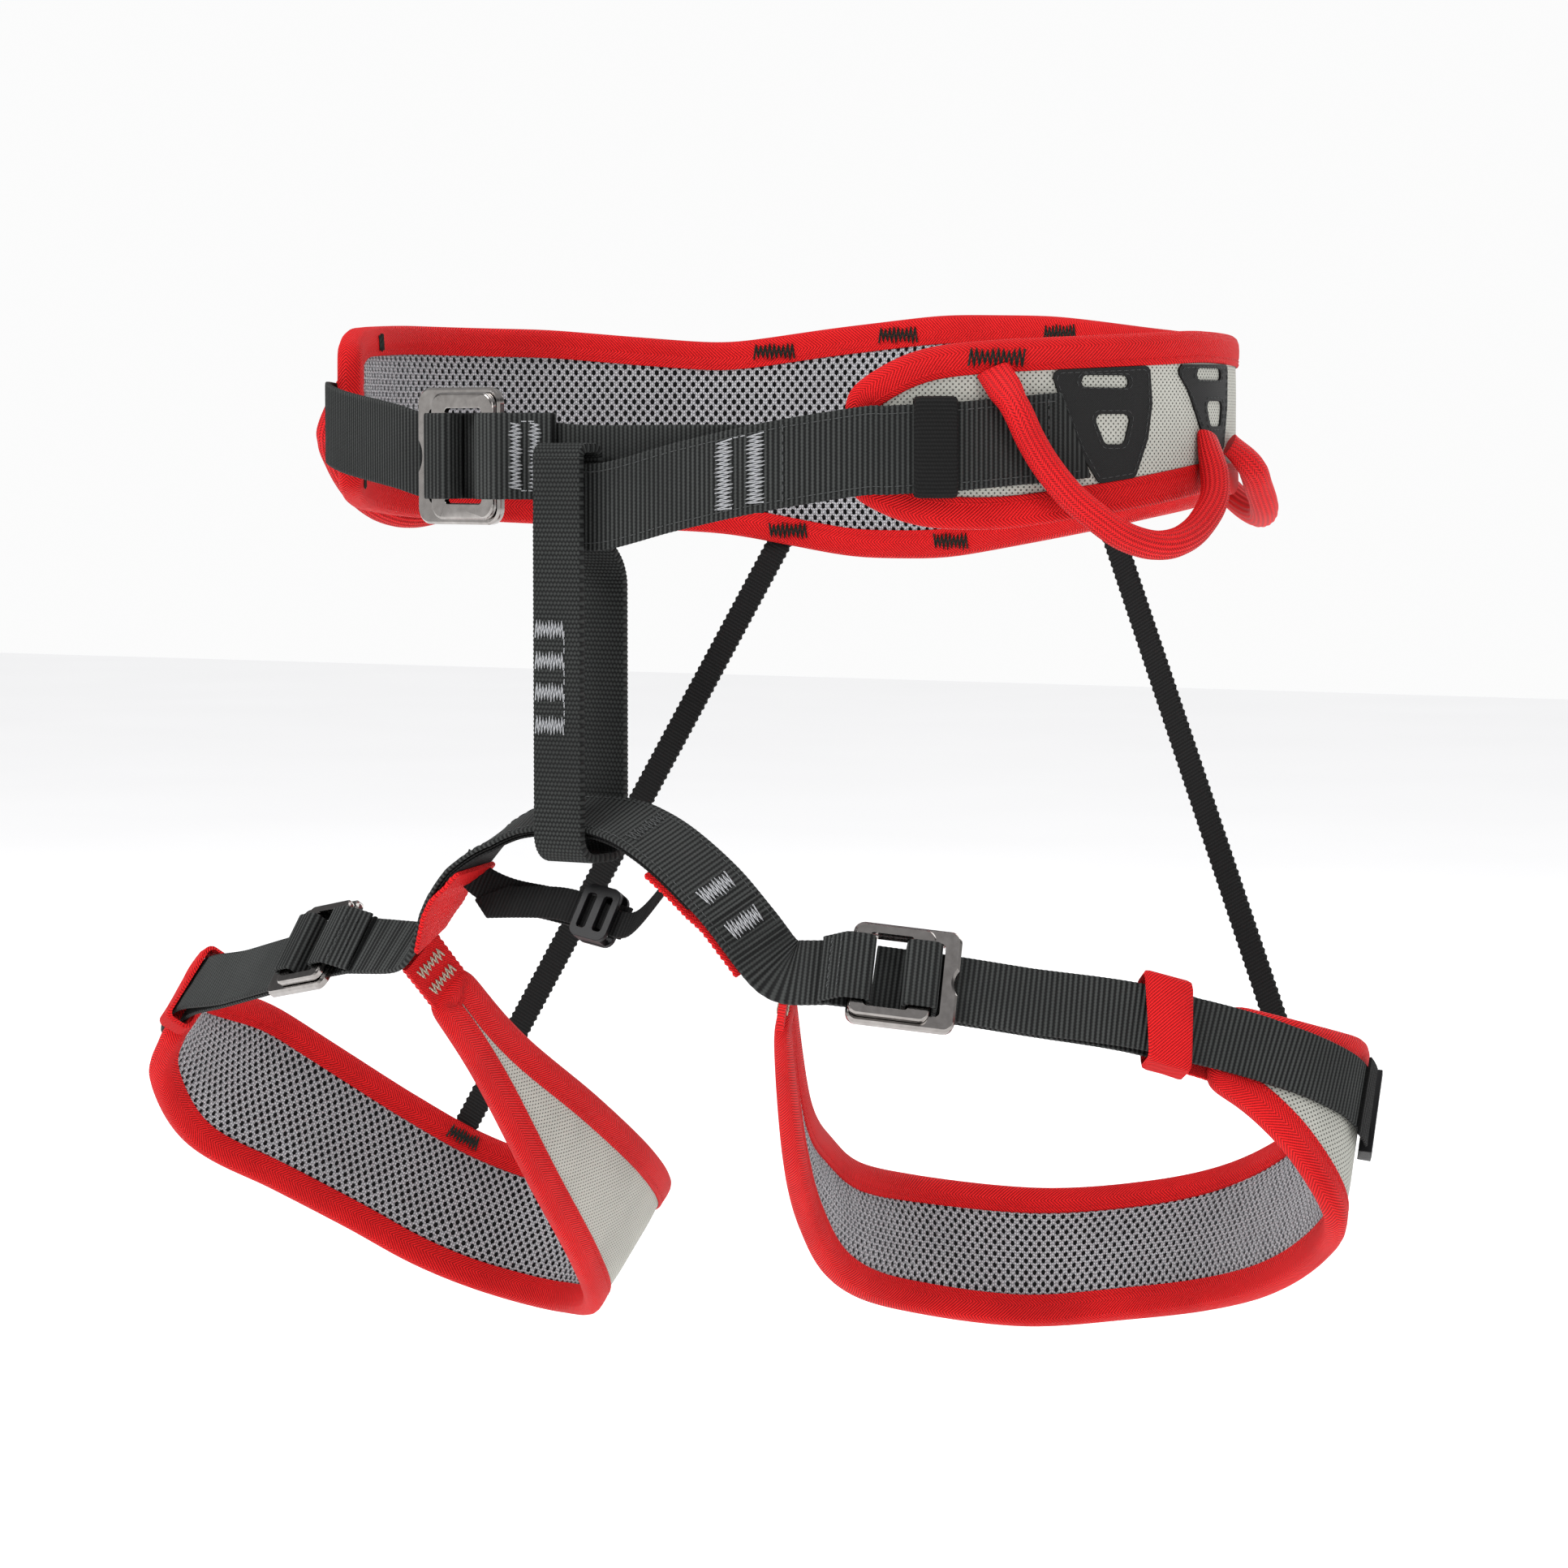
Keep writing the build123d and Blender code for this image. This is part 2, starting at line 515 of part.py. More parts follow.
def cross_strap():
    """Small adjustable strap that ties the two halves of the bridge together below it, and its slider."""
    middle, along = Vector(4, -104.5, -138), Vector(0.985, 0, -0.17)
    up = Vector(0.08, 0.45, 0.89)
    up = (up - along * up.dot(along)).normalized()
    out = up.cross(along)
    if out.Y > 0:
        out = out * -1
    half = CROSS_WEB / 2

    def run(*places):
        return [(middle + along * s if isinstance(s, (int, float)) else Vector(*s), up, out) for s in places]

    strap = band(run((-37, -105.5, -131), (-27, -105, -132.5), -17, 9), -half, half, -1.5, -0.3)
    link = band(run(1, 12, (31, -106.5, -126)), -half + 1, half - 1, 0.3, 1.5)
    tail = band(run(-1, -16, (-35, -107.8, -133.3)), [-half, -half, -2], [half, half, 1.5], 0.3, 1.5)
    body = band(run(-6, 6), -half - 3.6, half + 3.6, -3.2, 3.2)
    slot = band(run(-8, 8), -half - 0.8, half + 0.8, -2.1, 2.1)
    return {"cross_strap": strap, "cross_strap_link": Compound([link, tail]), "cross_strap_slider": body - slot}


def harness():
    parts = waist_layers()
    parts["waist_webbing_left"] = waist_front_webbing()
    buckle, place = waist_buckle()
    parts.update(buckle)
    main, parts["waist_webbing_right"] = waist_straps(place)
    parts["waist_strap"] = Compound([main, parts["waist_strap"]])
    parts["belt_keeper"] = belt_keeper()
    parts.update(overlays())
    for name in GEAR_LOOPS:
        parts[name] = gear_loop(name)
    parts["belay_loop"] = belay_loop()
    parts.update(leg_bridge())
    parts.update(cross_strap())
    for side in ("left", "right"):
        parts.update(leg_layers(side))
        place = leg_buckle_place(side)
        frame, slide = buckle_plates("leg", place)
        fold, loop = buckle_webbing("leg", place)
        parts.update({f"leg_buckle_frame_{side}": frame, f"leg_buckle_slide_{side}": slide,
                      f"leg_strap_fold_{side}": fold})
        parts.update(leg_straps(side, place, loop))
        parts[f"leg_strap_keeper_{side}"] = leg_keeper(side)
        parts.update(strap_end(side))
        parts[f"riser_{side}"] = riser(side)
    return parts


os.makedirs("parts", exist_ok=True)
for node, shape in harness().items():
    export_step(shape, f"parts/{node}.step")
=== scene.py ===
from math import cos, radians, sin, tan

import bmesh
import bpy
import numpy as np
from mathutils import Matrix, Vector
from mathutils.geometry import delaunay_2d_cdt


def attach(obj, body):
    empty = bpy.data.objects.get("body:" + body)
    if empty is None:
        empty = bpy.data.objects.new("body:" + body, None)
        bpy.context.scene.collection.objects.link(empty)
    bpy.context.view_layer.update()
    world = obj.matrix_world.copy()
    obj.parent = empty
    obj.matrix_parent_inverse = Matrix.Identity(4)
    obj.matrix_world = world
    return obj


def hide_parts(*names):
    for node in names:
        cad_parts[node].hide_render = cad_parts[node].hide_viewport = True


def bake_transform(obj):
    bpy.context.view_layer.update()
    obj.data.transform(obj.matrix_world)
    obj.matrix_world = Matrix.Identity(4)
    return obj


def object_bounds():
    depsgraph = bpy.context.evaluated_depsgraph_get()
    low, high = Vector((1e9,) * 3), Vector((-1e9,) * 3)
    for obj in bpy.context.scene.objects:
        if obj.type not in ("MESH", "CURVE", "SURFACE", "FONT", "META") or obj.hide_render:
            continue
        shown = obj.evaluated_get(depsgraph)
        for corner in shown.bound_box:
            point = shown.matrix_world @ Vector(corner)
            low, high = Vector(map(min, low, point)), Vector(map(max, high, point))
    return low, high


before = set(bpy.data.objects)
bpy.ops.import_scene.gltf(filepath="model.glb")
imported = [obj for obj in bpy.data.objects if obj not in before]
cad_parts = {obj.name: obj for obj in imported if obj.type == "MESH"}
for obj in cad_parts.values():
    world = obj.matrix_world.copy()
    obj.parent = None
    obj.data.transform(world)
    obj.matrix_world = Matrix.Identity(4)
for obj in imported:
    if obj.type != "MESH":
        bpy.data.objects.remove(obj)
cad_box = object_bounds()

# Climbing sit harness. Shapes are worked out in millimetres and turned into metres as meshes are made.
# +Z up, -Y front, +X the wearer's left. A strip has a length s, a height v across it and an offset n
# out of its face.
MM = 0.001
SIDES = ("left", "right")

# Camera.
AZIMUTH, ELEVATION, DISTANCE, LENS = 32.0, 4.0, 1.5, 111.8
AIM, AIM_RIGHT = (0.0, 0.0, -0.106), 0.0015

# Waist ring and belt edges, as in the CAD model.
WAIST_A, WAIST_B = 143.0, 110.0
WING_LEFT, WING_RIGHT = -56.0, 207.0
BELT_TOP = [(-56, 11), (-53, 19), (-47, 25), (-37, 27), (0, 30.5), (30, 29), (57, 34), (75, 38.5), (92, 39.5),
            (108, 35.5), (123, 30.5), (150, 35), (180, 35.5), (200, 34), (207, 28)]
BELT_BOTTOM = [(-56, -13), (-53, -20), (-47, -24.5), (-37, -25), (0, -15), (30, -16), (57, -24), (75, -31),
               (92, -38), (105, -38), (123, -30), (150, -27), (180, -24), (200, -20), (207, -14)]

# Layers as offsets from the middle surface: foam, lining, outer fabric, binding's skin.
BELT = dict(core=(-2.6, 1.4), lining=(-3.6, -2.9), shell=(1.6, 2.2), skin=(-4.6, 3.2), crown=(1.5, 0.2))
LEG = dict(core=(-2.0, 1.2), lining=(-2.9, -2.2), shell=(1.4, 1.9), skin=(-3.8, 2.8), crown=(1.2, 0.4))
BINDING_LAP, BINDING_EDGE = 8.0, 1.0

# Webbing.
WAIST_WEB, LEG_WEB, BELAY_WEB, BRIDGE_WEB, CROSS_WEB = 25.0, 20.0, 16.5, 20.0, 10.0
WEB_THICK = 1.4
TIE_IN = [(62, -107.2, -8), (36, -111.6, -13.5), (10, -113.2, -19.5), (-8, -112.9, -17.8),
          (-12, -112.75, -15.8)]
MAIN_STRAP = [(58, -101, -8.5), (32, -104.2, -8.5), (0, -105, -8.5), (-15.5, -106.2, -7)]
WAIST_BUCKLE = ((-42, -103.8, -5), (0.985, -0.17, 0))
RIGHT_STRAP = [(-74, -97.5, -2), (-104, -82, 2), (-123, -66, 5)]
KEEPER_ANGLE, KEEPER_LENGTH = -45.5, 12.5
BELAY_OUTLINE = [(-120.4, -1.2), (-108.2, -1.2), (-107.4, -25), (-95.4, -37), (-95.4, -122), (-120.4, -122)]
BELAY_RADII = [4.0, 4.0, 14, 14, 8, 8]
BELAY_THICK, BELAY_TACKS = 2.8, (-54.5, -63.5, -72.5, -82.0)
BRIDGE = [(0, -107.9, -108, 25), (10, -108, -108.4, 26), (21, -109, -111, 30), (34, -110, -117.5, 38),
          (48, -109.6, -128.5, 48), (58, -107.5, -140, 56), (66, -105, -151, 60)]
BRIDGE_SQUEEZE = 0.9
BRIDGE_TWIST = [(10, 0), (30, -14), (44, -40), (56, -44), (66, -18)]
HINGE_Y, HINGE_Z = -105.0, -150.0
HINGE_X = {"left": 67.0, "right": -60.4}

# Thigh loops: x, y, z of the middle line and the half height of the pad.
LEG_PATH = {
    "left": [(68, -104, -152, 8), (57, -88, -168, 8), (41, -56, -204, 10), (28, -24, -225, 15),
             (22, 6, -242, 19), (27, 38, -252, 21), (52, 67, -258, 22), (86, 75, -254, 22),
             (118, 69, -246, 23), (149, 51, -233, 25), (175, 29, -216, 27), (192, 3, -200, 28),
             (189, -17, -186, 20), (176, -32, -175, 13.5), (154, -50, -165, 11), (127, -70, -159, 10),
             (97, -89, -153.5, 10), (82, -98, -152.5, 10), (69, -104, -152.5, 10)],
    "right": [(-61, -104, -152, 8), (-59, -88, -168, 8), (-62, -60, -190, 10), (-64, -24, -219, 17),
              (-71, 14, -246, 22), (-86, 44, -263, 24), (-112, 62, -268, 24), (-141, 61, -264, 24),
              (-160, 46, -254, 24), (-174, 27, -240, 24), (-187, 4, -224, 25), (-199, -20, -208, 26),
              (-199, -42, -193, 19), (-190, -54, -183, 13.5), (-176, -64, -174, 11), (-152, -76, -168, 10),
              (-105, -93, -156.5, 10), (-82, -100, -154, 10), (-64, -104, -152.5, 10)],
}
THIGH_AXIS = {"left": (-0.11, 0.51, 0.85), "right": (0.26, 0.52, 0.81)}
PAD_FROM, PAD_TO, PAD_FILL = 0.75, 13.3, 0.7
TAPE_TO, TAPE_TURN_END, STUB_TURN_END = 1.25, 14.0, 26.0
TAIL_END = 10.9
RISER_SPAN = {"left": 9.2, "right": 8.2}
RISER_ANGLE = {"left": 64, "right": 116}
RISER_WIDTH, RISER_THICK, RISER_TUCK = 8.0, 2.0, (4.0, 3.5)

# Buckles, as in the CAD model.
BUCKLE = {"waist": dict(web=WAIST_WEB, length=34.0, bar=5.0), "leg": dict(web=LEG_WEB, length=31.0, bar=4.6)}
FRAME_THICK, SLIDE_THICK, PLATE_GAP, FRAME_LIFT, FOLD_CLEAR = 2.4, 1.9, 0.4, 3.8, 0.7
SLOT_LENGTH, SLIDE_BAR, SEWN_REACH = 3.0, 6.0, 8.0
LEG_BUCKLE_AT, STRAP_STOP = 16.0, {"left": 8.5, "right": 5.0}

# Gear loops.
GEAR_LOOPS = {"gear_loop_left_front": (-38, 0, 17, -1.5, 17, 0),
              "gear_loop_left_rear": (9, 50, -4, -4, 18.5, 0),
              "gear_loop_right_front": (190, 154, 24, -2, 13.5, 8),
              "gear_loop_right_rear": (146, 122, -4, -6, 18.5, 0)}
FRONT_LOOP = [(0, 1.0, 10.2), (0.055, 0.57, 10.6), (0.1, 0.09, 10.8), (0.155, -0.36, 11),
              (0.235, -0.84, 11.4), (0.33, -1.22, 12), (0.435, -1.53, 12), (0.565, -1.69, 12),
              (0.69, -1.62, 12), (0.82, -1.32, 11), (0.93, -0.78, 9.6), (1.0, 0.0, 8.4)]
REAR_LOOP = [(0, 0.0, 8.4), (0.05, -0.22, 9.2), (0.15, -0.54, 10), (0.3, -0.86, 11), (0.5, -1.0, 11.6),
             (0.7, -0.86, 11), (0.85, -0.54, 10), (0.95, -0.22, 9.2), (1.0, 0.0, 8.4)]
GEAR_RADIUS, GEAR_RIDGES, GEAR_STEPS, GEAR_ROUND = 4.25, 18, 110, 72
GEAR_TUCK, FRONT_TUCK, GEAR_RISE = 4.6, 7.4, 2.5

# Fabric and thread detail.
RIB, RIB_DEPTH = 1.5, 0.24
HOLE_PITCH, HOLE_ROW, HOLE_ZIGZAG, HOLE_HALF = 3.1, 1.9, 0.34, (0.72, 1.04)
STITCH, STITCH_GAP, THREAD = 2.3, 0.8, 0.2


# ---------------------------------------------------------------- curves and strips

def between(table, x):
    return np.interp(x, [row[0] for row in table], [row[1] for row in table])


def lengths(points):
    """Length along a line at each of its points."""
    return np.concatenate([[0], np.cumsum(np.linalg.norm(np.diff(points, axis=0), axis=1))])


def unit(a):
    return a / np.linalg.norm(a, axis=-1, keepdims=True)


def curve(points, u):
    """Point on a smooth curve through the given points; u counts the spans."""
    i = min(int(u), len(points) - 2)
    t = u - i
    a, b = np.array(points[max(i - 1, 0)], float), np.array(points[i], float)
    c, d = np.array(points[i + 1], float), np.array(points[min(i + 2, len(points) - 1)], float)
    square, cube = 2 * a - 5 * b + 4 * c - d, 3 * b - a - 3 * c + d
    return 0.5 * (2 * b + (c - a) * t + square * t * t + cube * t ** 3)


def smooth_points(points, steps):
    spans = len(points) - 1
    return np.array([curve(points, spans * i / steps) for i in range(steps + 1)])


def rounded(points, radii, closed=False, arc_steps=8):
    """Polygon in a plane with its corners turned into arcs."""
    count = len(points)
    result = []
    for i, corner in enumerate(points):
        if not closed and i in (0, count - 1):
            result.append(np.array(corner, float))
            continue
        here = np.array(corner, float)
        back = unit(np.array(points[i - 1], float) - here)
        ahead = unit(np.array(points[(i + 1) % count], float) - here)
        half = np.arccos(np.clip(back @ ahead, -1, 1)) / 2
        radius = radii[i] if isinstance(radii, (list, tuple)) else radii
        reach = radius / tan(half)
        centre = here + unit(back + ahead) * radius / sin(half)
        first, last = here + back * reach - centre, here + ahead * reach - centre
        for k in range(arc_steps + 1):
            mixed = first * (1 - k / arc_steps) + last * (k / arc_steps)
            result.append(centre + unit(mixed) * radius)
    return np.array(result)


def smoothed(values, sigma, closed=False):
    """Values at one spacing, blurred over sigma places."""
    reach = int(sigma * 3) + 1
    kernel = np.exp(-0.5 * (np.arange(-reach, reach + 1) / sigma) ** 2)
    padded = np.pad(values, reach, "wrap" if closed else "edge")
    return np.convolve(padded, kernel / kernel.sum(), "valid")


class Strip:
    """The middle surface of a band, with the heights of its two edges."""

    OVERRUN = 15.0

    def __init__(self, points, ups, outs, low, high, thin=1.0):
        """thin scales the offsets out of the face, so that a band can run out thin."""
        points = np.array(points, float)
        count = len(points)
        ups = unit(np.broadcast_to(np.array(ups, float), (count, 3)))
        outs = unit(np.broadcast_to(np.array(outs, float), (count, 3)))
        sides = [np.broadcast_to(np.array(x, float), count) for x in (low, high, thin)]
        rows = np.column_stack([points, ups, outs, *sides])
        s = lengths(points)
        self.length = s[-1]
        before, after = rows[0].copy(), rows[-1].copy()
        before[:3] -= unit(points[1] - points[0]) * self.OVERRUN
        after[:3] += unit(points[-1] - points[-2]) * self.OVERRUN
        self.rows = np.vstack([before, rows, after])
        self.s = np.concatenate([[-self.OVERRUN], s, [self.length + self.OVERRUN]])

    def row(self, s):
        return np.stack([np.interp(s, self.s, column) for column in self.rows.T], -1)

    def at(self, s, v, n):
        s, v, n = np.broadcast_arrays(*(np.asarray(x, float) for x in (s, v, n)))
        row = self.row(s)
        return row[..., :3] + row[..., 3:6] * v[..., None] + row[..., 6:9] * (n * row[..., 11])[..., None]

    def out(self, s):
        return unit(self.row(s)[..., 6:9])

    def edges(self, s):
        row = self.row(s)
        return row[..., 9], row[..., 10]

    def crown(self, s, v, height):
        """How far the padding swells out at a place, from nothing under the binding."""
        low, high = self.edges(s)
        depth = np.clip((np.minimum(v - low, high - v) - BINDING_LAP + 1.5) / 9, 0, 1)
        return height * depth * depth * (3 - 2 * depth)


# ---------------------------------------------------------------- meshes

class Shape:
    """Collects points and faces in millimetres, with UVs in millimetres, and becomes one object."""

    def __init__(self):
        self.points, self.faces, self.uvs, self.count = [], [], [], 0

    def add(self, points, faces, uvs):
        """faces are rows of indices into points; uvs has one pair for each face corner."""
        self.points.append(points)
        self.faces.extend((np.array(faces) + self.count).tolist())
        self.uvs.append(np.array(uvs, float).reshape(-1, 2))
        self.count += len(points)

    def grid(self, points, uv, wrap_rows=False, wrap_columns=False, caps=False):
        """Quads over points (rows, columns, 3); uv is (rows, columns, 2), with one more where it wraps."""
        rows, columns = points.shape[:2]
        counts = rows - (not wrap_rows), columns - (not wrap_columns)
        r, c = (x.ravel() for x in np.indices(counts))
        corners = [(r, c), (r + 1, c), (r + 1, c + 1), (r, c + 1)]
        faces = np.stack([(a % rows) * columns + b % columns for a, b in corners], -1)
        uvs = np.stack([uv[a, b] for a, b in corners], 1)
        self.add(points.reshape(-1, 3), faces, uvs)
        if caps:
            base = self.count - rows * columns
            for row in (0, rows - 1):
                face = base + row * columns + np.arange(columns)
                self.faces.append(face.tolist())
                self.uvs.append(uv[row, :columns])

    def thread(self, points, normals, radius):
        """Square-section thread along points, lying on a surface with the given normals."""
        along = np.gradient(points, axis=0)
        side = unit(np.cross(along, normals)) * radius
        lift = normals * radius
        ring = np.stack([points + side, points + lift, points - side, points - lift], 1)
        uv = np.zeros((len(points), 5, 2))
        uv[..., 0] = np.arange(len(points))[:, None]
        uv[..., 1] = np.arange(5)
        self.grid(ring, uv, wrap_columns=True, caps=True)

    def stitches(self, strip, s, v, n, face=1, stitch=STITCH, gap=STITCH_GAP, radius=THREAD):
        """A row of stitches along a line in the s, v plane, on the outer (1) or inner (-1) face."""
        s, v = np.broadcast_arrays(np.asarray(s, float), np.asarray(v, float))
        steps = np.hypot(np.diff(s), np.diff(v))
        run = np.concatenate([[0], np.cumsum(steps)])
        starts = np.arange(0.4, run[-1] - stitch, stitch + gap)
        shares = np.array([0, 0.25, 0.75, 1])
        heights = np.array([-0.15, 0.6, 0.6, -0.15]) * radius
        for start in starts:
            here = start + shares * stitch
            a, b = np.interp(here, run, s), np.interp(here, run, v)
            level = np.interp(here, run, n) if np.ndim(n) else n
            self.thread(strip.at(a, b, level + face * heights), strip.out(a) * face, radius)

    def tack(self, strip, s, v, n, face=1, pitch=1.5, across=True, radius=0.26):
        """Zigzag bar tack over the box s, v. Its strokes run along the strip if across is true."""
        ends = s if across else v
        sweep = v if across else s
        count = max(4, int(abs(sweep[1] - sweep[0]) / pitch * 2))
        turns = np.arange(count + 1)
        slow = np.linspace(sweep[0], sweep[1], count + 1)
        fast = np.where(turns % 2 == 0, ends[0], ends[1]) + 0.35 * np.sin(turns * 2.4)
        slow, fast = (np.interp(np.arange(0, count + 0.01, 0.25), turns, x) for x in (slow, fast))
        a, b = (fast, slow) if across else (slow, fast)
        self.thread(strip.at(a, b, n + face * radius * 0.7), strip.out(a) * face, radius)

    def object(self, name, finish, sharp=42.0):
        mesh = bpy.data.meshes.new(name)
        mesh.from_pydata((np.vstack(self.points) * MM).tolist(), [], self.faces)
        layer = mesh.uv_layers.new(name="UVMap")
        layer.data.foreach_set("uv", np.vstack(self.uvs).astype(np.float32).ravel())
        mesh.materials.append(finish)
        mesh.shade_smooth()
        mesh.set_sharp_from_angle(angle=radians(sharp))
        result = bpy.data.objects.new(name, mesh)
        bpy.context.scene.collection.objects.link(result)
        outward(mesh)
        return result


def outward(mesh):
    """Turns the faces of closed forms outwards."""
    form = bmesh.new()
    form.from_mesh(mesh)
    bmesh.ops.recalc_face_normals(form, faces=form.faces)
    form.to_mesh(mesh)
    form.free()


def value(x, s):
    """x as an array along s: a number, a table of (s, value) pairs or a function of s."""
    if callable(x):
        return x(s)
    if isinstance(x, list):
        return between(x, s)
    return np.full(len(s), float(x))


WEB_FACE = [(0, 0.72), (0.012, 0.93), (0.05, 1), (0.12, 1), (0.3, 1), (0.5, 1), (0.7, 1), (0.88, 1), (0.95, 1),
            (0.988, 0.93), (1, 0.72)]
WEB_PROFILE = WEB_FACE + [(a, round(1 - b, 2)) for a, b in reversed(WEB_FACE)]


def webbing(shape, strip, s, v, n, rib=RIB, depth=RIB_DEPTH, scallop=0.05, closed=False):
    """Strap with cross ribs between s[0] and s[1], heights v and offsets n, all closed round."""
    count = max(4, int((s[1] - s[0]) / rib * 4))
    places = np.linspace(s[0], s[1], count + 1)
    if closed:
        places = places[:-1]
    span = s[1] - s[0]
    wave = 0.5 - 0.5 * np.cos(2 * np.pi * (places - s[0]) / rib * (round(span / rib) * rib / span))
    share = np.array(WEB_PROFILE)
    low, high = value(v[0], places), value(v[1], places)
    inner, outer = value(n[0], places), value(n[1], places)
    aside, above = (share - 0.5).T
    edge = np.sign(aside) * (np.abs(aside) > 0.4)
    heights = low[:, None] + (high - low)[:, None] * share[:, 0] + scallop * edge * (wave[:, None] - 0.5) * 2
    face = np.sign(above) * (np.abs(above) > 0.45) * (np.abs(aside) < 0.47)
    offsets = inner[:, None] + (outer - inner)[:, None] * share[:, 1] - depth * face * (1 - wave[:, None])
    points = strip.at(np.broadcast_to(places[:, None], heights.shape), heights, offsets)
    across = np.concatenate([share[:, 0], [share[0, 0]]]) * (v_span(v))
    rows = np.concatenate([places, [s[1]]]) if closed else places
    uv = np.stack(np.broadcast_arrays(rows[:, None] - s[0], across), -1)
    shape.grid(points, uv, wrap_rows=closed, wrap_columns=True, caps=not closed)


def v_span(v):
    """Width of a strap in its UV, which is one width where its edges vary."""
    if all(isinstance(x, (int, float)) for x in v):
        return v[1] - v[0]
    return WAIST_WEB


def sleeve(shape, strip, s, v, n, wall, soft=0.0, skew=0.0):
    """Band of cloth closed round a strap: outside v by n it is a rounded loop, s[1] - s[0] wide."""
    low, high = v[0] - wall, v[1] + wall
    inner, outer = n[0] - wall, n[1] + wall
    corners = [(low, inner), (high, inner), (high, outer), (low, outer)]
    loop = rounded(corners, min(2.2, (outer - inner) * 0.42), closed=True, arc_steps=4)
    dense = []
    for i, here in enumerate(loop):
        ahead = loop[(i + 1) % len(loop)]
        parts = max(1, int(np.hypot(*(ahead - here)) / 2))
        dense += [here + (ahead - here) * k / parts for k in range(parts)]
    loop = np.array(dense)
    middle = np.array([(low + high) / 2, (inner + outer) / 2])
    reach = np.array([(high - low) / 2, (outer - inner) / 2])
    inside = middle + (loop - middle) * ((reach - wall) / reach)
    section = [(0, 0.0), (0.04, 0.8), (0.12, 1.0), (0.5, 1.05), (0.88, 1.0), (0.96, 0.8), (1, 0.0), (0.9, -0.1),
               (0.1, -0.1)]
    rows = []
    turn = np.linspace(0, 2 * np.pi, len(loop), endpoint=False)
    for share, height in section:
        place = inside + (loop - inside) * max(height, 0.02)
        swell = soft * sin(np.pi * share) * np.cos(turn * 3)
        slant = skew * (place[:, 0] - middle[0]) / (high - low)
        rows.append(strip.at(s[0] + (s[1] - s[0]) * share + slant, place[:, 0], place[:, 1] + swell))
    points = np.stack(rows, 1)
    size = lengths(np.vstack([loop, loop[:1]]))
    uv = np.zeros((len(loop) + 1, len(section) + 1, 2))
    uv[..., 0] = size[:, None]
    uv[..., 1] = np.array([a for a, b in section] + [0]) * (s[1] - s[0])
    shape.grid(points, uv, wrap_rows=True, wrap_columns=True)


def outline_of(strip, s, inset=0.0, soft=4.0):
    """Closed outline of a pad in the s, v plane with rounded corners, and its inward directions."""
    places = np.arange(s[0], s[1] + 0.5, 1.0)
    low, high = strip.edges(places)
    bottom = np.stack([places, low], -1)
    top = np.stack([places, high], -1)[::-1]
    ring = np.vstack([bottom, top, bottom[:1]])
    run = lengths(ring)
    even = np.linspace(0, run[-1], int(run[-1]), endpoint=False)
    line = np.stack([smoothed(np.interp(even, run, ring[:, k]), soft, closed=True) for k in (0, 1)], -1)
    ahead = np.roll(line, -1, axis=0) - np.roll(line, 1, axis=0)
    inward = np.stack([smoothed(x, soft, closed=True) for x in (-ahead[:, 1], ahead[:, 0])], -1)
    inward = unit(inward)
    return (line + inward * inset)[::2], inward[::2]


def folded_in(strip, line, inward, depth):
    """Places a distance in from a pad's outline, stopped short of its middle line."""
    place = line + inward * depth
    low, high = strip.edges(place[:, 0])
    middle = (low + high) / 2
    v = place[:, 1]
    place[:, 1] = np.where(line[:, 1] < middle, np.minimum(v, middle - 0.2), np.maximum(v, middle + 0.2))
    return place


def binding(name, strip, s, layers):
    """Tape folded over the whole edge of a pad, with a row of stitches on each face."""
    line, inward = outline_of(strip, s)
    inner, outer = layers["skin"]
    lap, edge = BINDING_LAP, BINDING_EDGE
    middle = (inner + outer) / 2
    section = [(lap + 0.3, inner + 0.9), (lap + 0.1, inner + 0.25), (lap - 0.5, inner),
               (lap - 1.5, inner + 0.22), (lap - 2.6, inner - 0.05), (3.4, inner - 0.1), (1.4, inner + 0.1),
               (0, inner + 0.7), (-0.8, inner + 1.8), (-edge, middle), (-0.8, outer - 1.6), (0, outer - 0.6),
               (1.4, outer - 0.05), (3.4, outer + 0.1), (lap - 2.6, outer + 0.05), (lap - 1.5, outer - 0.22),
               (lap - 0.5, outer), (lap + 0.1, outer - 0.25), (lap + 0.3, outer - 0.7), (lap - 1, outer - 0.8),
               (1, outer - 1.0), (0.2, middle), (1, inner + 1.0), (lap - 1, inner + 0.9)]
    columns = []
    for depth, n in section:
        place = folded_in(strip, line, inward, depth)
        columns.append(strip.at(place[:, 0], place[:, 1], n))
    points = np.stack(columns, 1)
    run = np.arange(len(line) + 1) * 2.0
    width = lengths(np.array(section + section[:1]))
    uv = np.stack(np.broadcast_arrays(run[:, None], width), -1)
    tape = Shape()
    tape.grid(points, uv, wrap_rows=True, wrap_columns=True)
    seams = Shape()
    seam = folded_in(strip, line, inward, lap - 1.5)
    seam = np.vstack([seam, seam[:1]])
    seams.stitches(strip, seam[:, 0], seam[:, 1], outer - 0.2, 1, radius=0.17)
    seams.stitches(strip, seam[:, 0], seam[:, 1], inner + 0.2, -1, radius=0.17)
    return tape.object(name, FINISH["binding"]), seams.object(f"{name}_stitches", FINISH["red_thread"])


